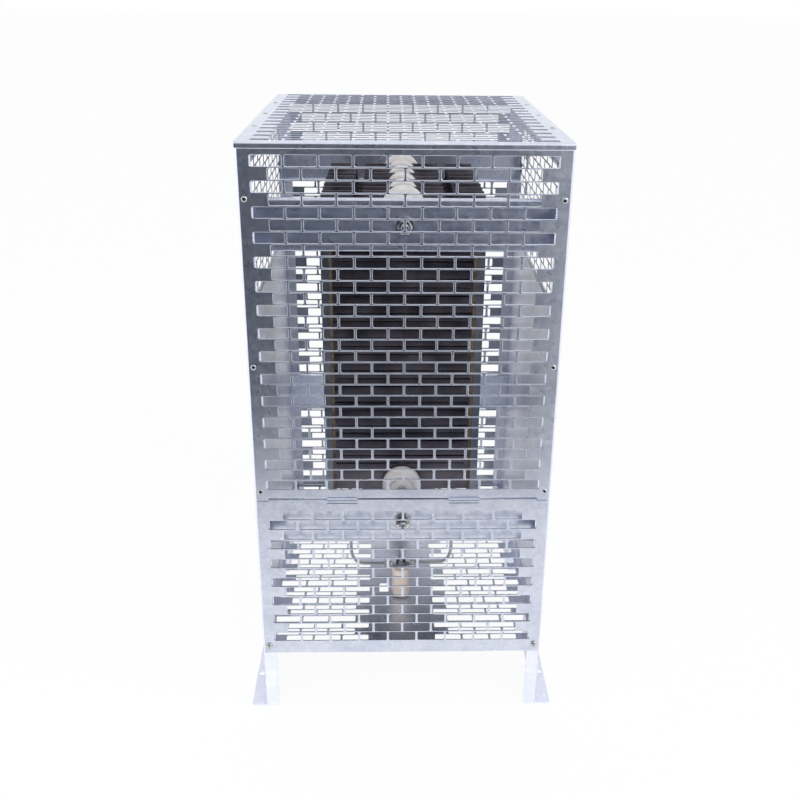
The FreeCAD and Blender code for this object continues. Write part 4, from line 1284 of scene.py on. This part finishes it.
@dataclass
class Fasteners:
    """Rivets and cover screws.

    Attributes:
        mandrel: diameter of the mandrel's end in a rivet.
        rivet_x: distance of the rivets from the middle.
        rows: heights of the rivets in the front and the rear.
        top_places: depths of the rivets in the top cover.
    """

    rivet: float = 7.2
    rivet_height: float = 1.2
    mandrel: float = 2.9
    rivet_x: float = 186.5
    rows: Triple = (739.0, 529.0, 353.0)
    top_places: Triple = (-120.0, 0.0, 120.0)

    def rivet_form(self, centre: Place, axis: str) -> Form:
        """Turn one blind rivet's head: a low dome with the hollow its mandrel left."""
        rim, high = self.rivet / 2, self.rivet_height
        profile = [
            (0.02, rim - 0.1), (0.25, rim), (high * 0.6, rim - 0.45), (high * 0.92, rim - 1.3),
            (high, 1.7), (high * 0.8, 1.5), (high * 0.1, 1.45), (high * 0.1, 0.05),
        ]
        return turned(profile, centre, axis, 24)

    def mandrel_form(self, centre: Place, axis: str) -> Form:
        """Turn the broken, oxidised end of the mandrel that stays in a rivet's hollow; its near-black colour
        is partly painted shade of that hollow.
        """
        rim = self.mandrel / 2
        return turned([(-0.4, rim), (0.42, rim), (0.55, rim - 0.3), (0.5, 0.1)], centre, axis, 16)

    def rivets(self) -> None:
        """Make the rivets of the front, the rear and the top."""
        sides = [side * self.rivet_x for side in SIDES]
        groups = {
            "front": ("-Y", [(x, -DEPTH, z) for x in sides for z in self.rows]),
            "rear": ("Y", [(x, DEPTH, z) for x in sides for z in (*self.rows, COVER_SCREW[1])]),
            "top": ("Z", [(x, y, HEIGHT) for x in sides for y in self.top_places]),
        }
        for word, (axis, places) in groups.items():
            heads = join(self.rivet_form(place, axis) for place in places)
            finish_piece(heads, f"{word}_rivets_heads", BRIGHT_ZINC, f"{word}_rivets")
            # Mandrel ends: near black, from oxide and from painted shade of the rivets' hollows.
            ends = join(self.mandrel_form(place, axis) for place in places)
            finish_piece(ends, f"{word}_rivet_mandrels", OXIDE_AND_HOLLOW_SHADE)

    def screws(self) -> None:
        """Make the cover's two pan-head screws with their cross recess."""
        head = [(0.0, 4.9), (0.5, 5.0), (1.6, 4.7), (2.4, 3.9), (2.9, 2.6), (2.95, 2.0)]
        recess = [(2.2, 1.2), (1.4, 0.7), (1.3, 0.05)]
        forms = []
        for side in SIDES:
            centre = (side * COVER_SCREW[0], -COVER_FACE, COVER_SCREW[1])
            forms.append(turned(head + recess, centre, "-Y", 32, self.cross))
            forms.append(threaded(5.0, -9.0, 0.0, centre, "-Y", 0.8))
        finish_piece(join(forms), "cover_screw_pair", BRIGHT_ZINC, "cover_screws", body=Body.COVER)

    @staticmethod
    def cross(turn: float, radius: float) -> float:
        """Give the recess of a screw head the outline of a cross."""
        if radius > 2.1:
            return radius
        return radius * (0.55 + 0.6 * abs(math.cos(2 * turn)) ** 3)

    def build(self) -> None:
        """Make all of them."""
        self.rivets()
        self.screws()


@dataclass
class Connections:
    """The two connection posts with their studs, lugs and bare leads.

    Attributes:
        post_y: distance of a post from the middle, to the front and to the rear.
        foot: underside of the posts.
        lug_reach: where a lug's barrel begins, from its stud.
        lead: diameter of a lead, with its strands.
        lead_foot: where a lead turns up, from the stud.
        bar_y: where it meets the outer grid.
        lay: length of one turn of the strands.
    """

    post_y: float = 107.0
    foot: float = 98.5
    height: float = 50.0
    width: float = 28.0
    stud: float = 8.0
    stud_height: float = 34.0
    lug_sheet: float = 2.0
    lug_width: float = 15.0
    lug_reach: float = 14.0
    barrel: float = 8.0
    barrel_length: float = 12.0
    washer_width: float = 17.0
    washer_sheet: float = 1.6
    lead: float = 5.0
    lead_foot: float = 75.0
    bar_y: float = 112.5
    strands: int = 6
    lay: float = 34.0

    def post_form(self, y: float) -> Form:
        """Turn one post: a slightly tapered drum, rounded at its foot, with a groove near its top."""
        rim, top = self.width / 2, self.height
        profile = [
            (0.0, rim - 6.0), (0.8, rim - 3.6), (2.4, rim - 1.6), (4.5, rim - 0.5), (7.5, rim),
            (top - 7.5, rim - 0.5), (top - 6.6, rim - 1.2), (top - 5.4, rim - 1.2), (top - 4.5, rim - 0.4),
            (top - 1.6, rim - 0.4), (top - 0.4, rim - 1.0), (top, rim - 2.4),
        ]
        return turned(profile, (0, y, self.foot), "Z", 48)

    def lug_form(self, side: int, y: float, height: float) -> Form:
        """Make one crimped lug: a flat palm with a hole and a hollow barrel.

        Args:
            side: which way the barrel points.
            y: the stud's depth.
            height: underside of the palm.

        Returns:
            The mesh.
        """
        half, reach, last = self.lug_width / 2, self.lug_reach, self.barrel_length
        palm = [
            *arc(0.0, 0.0, half, 90, 270, 12), (reach - 5.0, -half), (reach, -half * 0.55),
            (reach, half * 0.55), (reach - 5.0, half),
        ]
        flat = FlatSheet(palm, [circle(0, 0, self.stud + 0.4)], self.lug_sheet, edge=0.3).mesh()
        turn = Matrix.Rotation(0 if side > 0 else math.pi, 4, "Z")
        stand(flat, Matrix.Translation((0, y, height + self.lug_sheet / 2)) @ turn)
        outer, inner = self.barrel / 2, self.lead / 2 + 0.1
        profile = [
            (-1.5, inner), (-1.5, outer - 1.0), (0.5, outer), (3.0, outer), (4.0, outer - 0.5),
            (6.5, outer - 0.5), (7.5, outer), (last - 0.5, outer), (last, outer - 0.4), (last, inner),
        ]
        axis = "X" if side > 0 else "-X"
        centre = (side * reach, y, height + self.barrel / 2)
        return join([flat, turned(profile, centre, axis, 28, ring=True)])

    def route(self, side: int, end: End, height: float) -> list[Place]:
        """Give the control points of one lead, from its lug up to the packet's end bar."""
        y, bar = end.value * self.post_y, end.value * self.bar_y
        level = height + self.barrel / 2
        foot = side * self.lead_foot
        return [
            (side * (self.lug_reach + 2.0), y, level),
            (side * (self.lug_reach + self.barrel_length + 6.0), y, level),
            (foot, y, level), (foot, (y + bar) / 2, level + 60.0), (foot, bar, PACKET_BOTTOM - 0.3),
        ]

    def lead_form(self, points: Sequence[Place]) -> Form:
        """Lay twisted strands along the smooth line that these control points give."""
        curve = bpy.data.curves.new("route", "CURVE")
        curve.dimensions = "3D"
        spline = curve.splines.new("NURBS")
        spline.points.add(len(points) - 1)
        for point, co in zip(spline.points, points):
            point.co = (*co, 1.0)
        spline.order_u = 3
        spline.use_endpoint_u = True
        spline.resolution_u = 16
        holder = bpy.data.objects.new("route", curve)
        line = bpy.data.meshes.new_from_object(holder)
        path = [vert.co.copy() for vert in line.vertices]
        bpy.data.objects.remove(holder)
        bpy.data.curves.remove(curve)
        bpy.data.meshes.remove(line)
        thin = self.lead / 3
        forms = [tube(path, thin / 2, 8)]
        for strand in range(self.strands):
            phase = math.tau * strand / self.strands
            forms.append(tube(helix(path, thin * 0.98, self.lay, phase), thin / 2, 8))
        return join(forms)

    def build(self) -> None:
        """Make posts, studs, washers, nuts, lugs and leads."""
        studs, washers, nuts, lugs = [], [], [], []
        top = self.foot + self.height
        level = top + self.washer_sheet
        for end in End:
            y = end.value * self.post_y
            finish_piece(self.post_form(y), f"{end.word}_post", POST_RESIN, f"{end.word}_connection_post")
            studs.append(threaded(self.stud, 0.0, self.stud_height, (0, y, top), "Z", 1.25))
            washers.append(washer(self.washer_width, self.stud + 0.4, self.washer_sheet, (0, y, top), "Z"))
            nuts.append(hex_nut(*M8_NUT, (0, y, level + 2 * self.lug_sheet), "Z"))
            leads = []
            for side, height in zip(SIDES, (level, level + self.lug_sheet)):
                lugs.append(self.lug_form(side, y, height))
                leads.append(self.lead_form(self.route(side, end, height)))
            finish_piece(join(leads), f"{end.word}_strands", TINNED, f"{end.word}_leads")
        finish_piece(join(studs), "stud_pair", BRIGHT_ZINC, "connection_studs")
        finish_piece(join(washers), "stud_washers", BRIGHT_ZINC, "connection_washers")
        finish_piece(join(nuts), "stud_nuts", BRIGHT_ZINC, "connection_nuts")
        finish_piece(join(lugs), "crimped_lugs", TINNED, "cable_lugs")


def frames_along(path: Sequence[Vector]) -> list[tuple[Vector, Vector, Vector, float]]:
    """Follow a line without twisting.

    Args:
        path: its points.

    Returns:
        For each point: the point, two directions across the line, and the length so far.
    """
    made = []
    across = None
    length = 0.0
    for index, point in enumerate(path):
        ahead = path[min(index + 1, len(path) - 1)] - path[max(index - 1, 0)]
        ahead.normalize()
        if across is None:
            across = ahead.orthogonal().normalized()
        across = (across - ahead * across.dot(ahead)).normalized()
        if index:
            length += (point - path[index - 1]).length
        made.append((point, across.copy(), ahead.cross(across), length))
    return made


def helix(path: Sequence[Vector], radius: float, lay: float, phase: float) -> list[Vector]:
    """Give the line of one strand wound around a path."""
    made = []
    for point, across, beside, length in frames_along(path):
        turn = phase + math.tau * length / lay
        made.append(point + across * (radius * math.cos(turn)) + beside * (radius * math.sin(turn)))
    return made


def tube(path: Sequence[Vector], radius: float, sides: int) -> Form:
    """Make a closed tube along a path, with this many faces round it."""
    form = bmesh.new()
    turns = [math.tau * index / sides for index in range(sides)]
    rings = []
    for point, across, beside, _ in frames_along(path):
        spokes = [across * math.cos(turn) + beside * math.sin(turn) for turn in turns]
        rings.append([form.verts.new(point + spoke * radius) for spoke in spokes])
    skin(form, rings)
    return form


@dataclass
class CarriedOver:
    """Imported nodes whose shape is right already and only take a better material."""

    finishes: dict[str, Finish] = field(default_factory=lambda: {
        "left_mica_strips": MICA,
        "right_mica_strips": MICA,
        "left_side_rails": RAIL_STEEL,
        "right_side_rails": RAIL_STEEL,
        "grid_links": RAIL_STEEL,
        "upper_rod_sleeve": MICA,
        "lower_rod_sleeve": MICA,
    })

    def build(self) -> None:
        """Give each node its material."""
        for name, finish in self.finishes.items():
            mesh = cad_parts[name].data
            mesh.materials.clear()
            mesh.materials.append(finish.material())
            LOG.info("%s keeps its shape in %s", name, finish.name)


@dataclass
class Studio:
    """Plain pale floor, soft white surroundings, a grey card that metal reflects, and the camera.

    Attributes:
        focal_pixels: the lens, in pixels of the photograph.
        image: width and height of the photograph.
        centre: the point of the photograph that the lens looks at.
        tilt: the camera's turn downwards, its roll and its turn to the side, in degrees.
        eye: where the camera stands.
        clip: nearest and farthest distance that it sees, in metres.
        floor_size: in metres.
        floor_gap: depth of the floor below the feet, in metres.
        floor_glow: share of plain white in the floor, for the eye and for mirrors.
        card_foot: distance and height of the card's lower edge, in metres.
        card_top: the same of its upper edge.
        card_angles: its folds, in degrees from straight ahead.
        lamp_size: width and height of a lamp, in metres.
        aim: what the lamps face, in metres.
    """

    focal_pixels: float = 955.9
    image: float = 800.0
    sensor: float = 36.0
    centre: Point = (413.4, 367.2)
    tilt: Triple = (22.12, -1.66, 0.65)
    eye: Place = (-20.3, -1340.0, 977.0)
    clip: Point = (0.05, 60.0)
    floor_size: float = 60.0
    floor_gap: float = 0.0005
    floor_glow: float = 0.93
    card_foot: Point = (0.98, 0.0)
    card_top: Point = (1.25, 1.15)
    card_angles: tuple[float, ...] = (-38.0, -23.0, -8.0, 7.0, 21.0)
    lamp_size: Point = (1.6, 1.2)
    aim: Place = (0.0, 0.0, 0.45)

    def camera(self) -> None:
        """Set the camera where the photograph was taken from."""
        data = bpy.data.cameras.new("camera")
        data.sensor_width = self.sensor
        data.lens = self.focal_pixels / self.image * self.sensor
        data.shift_x = (self.image / 2 - self.centre[0]) / self.image
        data.shift_y = (self.centre[1] - self.image / 2) / self.image
        data.clip_start, data.clip_end = self.clip
        # Level and ahead along Y, as rows of picture right, picture down and depth.
        view = Matrix(((1, 0, 0), (0, 0, -1), (0, 1, 0)))
        down, roll, yaw = (math.radians(angle) for angle in self.tilt)
        for angle, axis in ((roll, "Y"), (down, "X"), (yaw, "Z")):
            view = Matrix.Rotation(angle, 3, axis) @ view
        # A Blender camera has its picture's height upwards and looks against its own Z.
        view = Matrix(((1, 0, 0), (0, -1, 0), (0, 0, -1))) @ view
        holder = bpy.data.objects.new("camera", data)
        holder.matrix_world = Matrix.Translation(Vector(self.eye) * MM) @ view.transposed().to_4x4()
        bpy.context.scene.collection.objects.link(holder)
        bpy.context.scene.camera = holder

    def seen(self, tree: Tree) -> Socket:
        """Give one for rays that come from the camera, a mirror or a window, else zero."""
        path = add_node(tree, "LightPath")
        value = path.outputs["Is Camera Ray"]
        for ray in ("Is Glossy Ray", "Is Transmission Ray"):
            links = {0: value, 1: path.outputs[ray]}
            value = add_node(tree, "Math", {"operation": "MAXIMUM"}, links).outputs[0]
        return value

    def floor(self) -> None:
        """Lay the paper floor: white to the eye, and it keeps the object's soft shadow."""
        paper = bpy.data.materials.new("white_paper_floor")
        tree = fresh_tree(paper)
        matt = add_node(tree, "BsdfDiffuse", {"Color": hex_colour("#f8f8f9")})
        glow = add_node(tree, "Emission", {"Color": hex_colour("#ffffff"), "Strength": 1.0})
        share = add_node(tree, "Math", {"operation": "MULTIPLY", 1: self.floor_glow}, {0: self.seen(tree)})
        mix = add_node(tree, "MixShader", links={0: share.outputs[0], 1: matt.outputs[0], 2: glow.outputs[0]})
        add_node(tree, "OutputMaterial", links={"Surface": mix.outputs[0]})
        form = bmesh.new()
        bmesh.ops.create_grid(form, x_segments=1, y_segments=1, size=self.floor_size / 2)
        holder = new_object(form, "studio_floor", paper)
        holder.location.z = -self.floor_gap

    def card(self) -> None:
        """Lean one curved grey card back before the object, which only metal sees."""
        form = bmesh.new()
        turns = [math.radians(angle - 90) for angle in self.card_angles]
        low, high = (
            [form.verts.new((distance * math.cos(turn), distance * math.sin(turn), height)) for turn in turns]
            for distance, height in (self.card_foot, self.card_top)
        )
        for index in range(1, len(turns)):
            form.faces.new((low[index - 1], low[index], high[index], high[index - 1]))
        grey = Finish("grey_studio_card", "#3a404b", 0.9, 0.0, None)
        holder = new_object(form, "studio_card", grey.material())
        holder.visible_camera = False
        holder.visible_diffuse = False
        holder.visible_shadow = False
        holder.visible_transmission = False

    def light(self) -> None:
        """Light the room: an even pale world and two broad lamps."""
        world = bpy.data.worlds.new("white_room")
        bpy.context.scene.world = world
        tree = fresh_tree(world)
        shade = blend_colours(tree, self.seen(tree), "#e6e8ee", "#ffffff")
        room = add_node(tree, "Background", {"Strength": 1.0}, {"Color": shade})
        add_node(tree, "OutputWorld", links={"Surface": room.outputs[0]})
        self.lamp("soft_box", 14.0, (1.5, -1.3, 2.1), True)
        self.lamp("front_fill", 16.0, (-0.7, -1.7, 0.7), False)

    def lamp(self, name: str, power: float, place: Place, reflected: bool) -> None:
        """Hang one broad soft lamp that faces the middle of the object.

        Args:
            name: what it is called.
            power: in watts.
            place: where it hangs, in metres.
            reflected: whether bare metal shows it.
        """
        data = bpy.data.lights.new(name, "AREA")
        data.shape = "RECTANGLE"
        data.size, data.size_y = self.lamp_size
        data.energy = power
        holder = bpy.data.objects.new(name, data)
        holder.location = place
        ahead = Vector(self.aim) - holder.location
        holder.rotation_euler = ahead.to_track_quat("-Z", "Y").to_euler()
        holder.visible_glossy = reflected
        bpy.context.scene.collection.objects.link(holder)

    def build(self) -> None:
        """Set up everything around the object."""
        self.camera()
        self.floor()
        self.card()
        self.light()
        bpy.context.scene.view_settings.view_transform = "Standard"


def main() -> None:
    """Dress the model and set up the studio."""
    logging.basicConfig(level=logging.INFO, format="%(message)s")
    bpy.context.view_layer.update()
    Studio().build()
    CarriedOver().build()
    for assembly in (Panels(), SideWalls(), Beams(), Insulators(), Packet(), Fasteners(), Connections()):
        assembly.build()


if __name__ == "__main__":
    main()
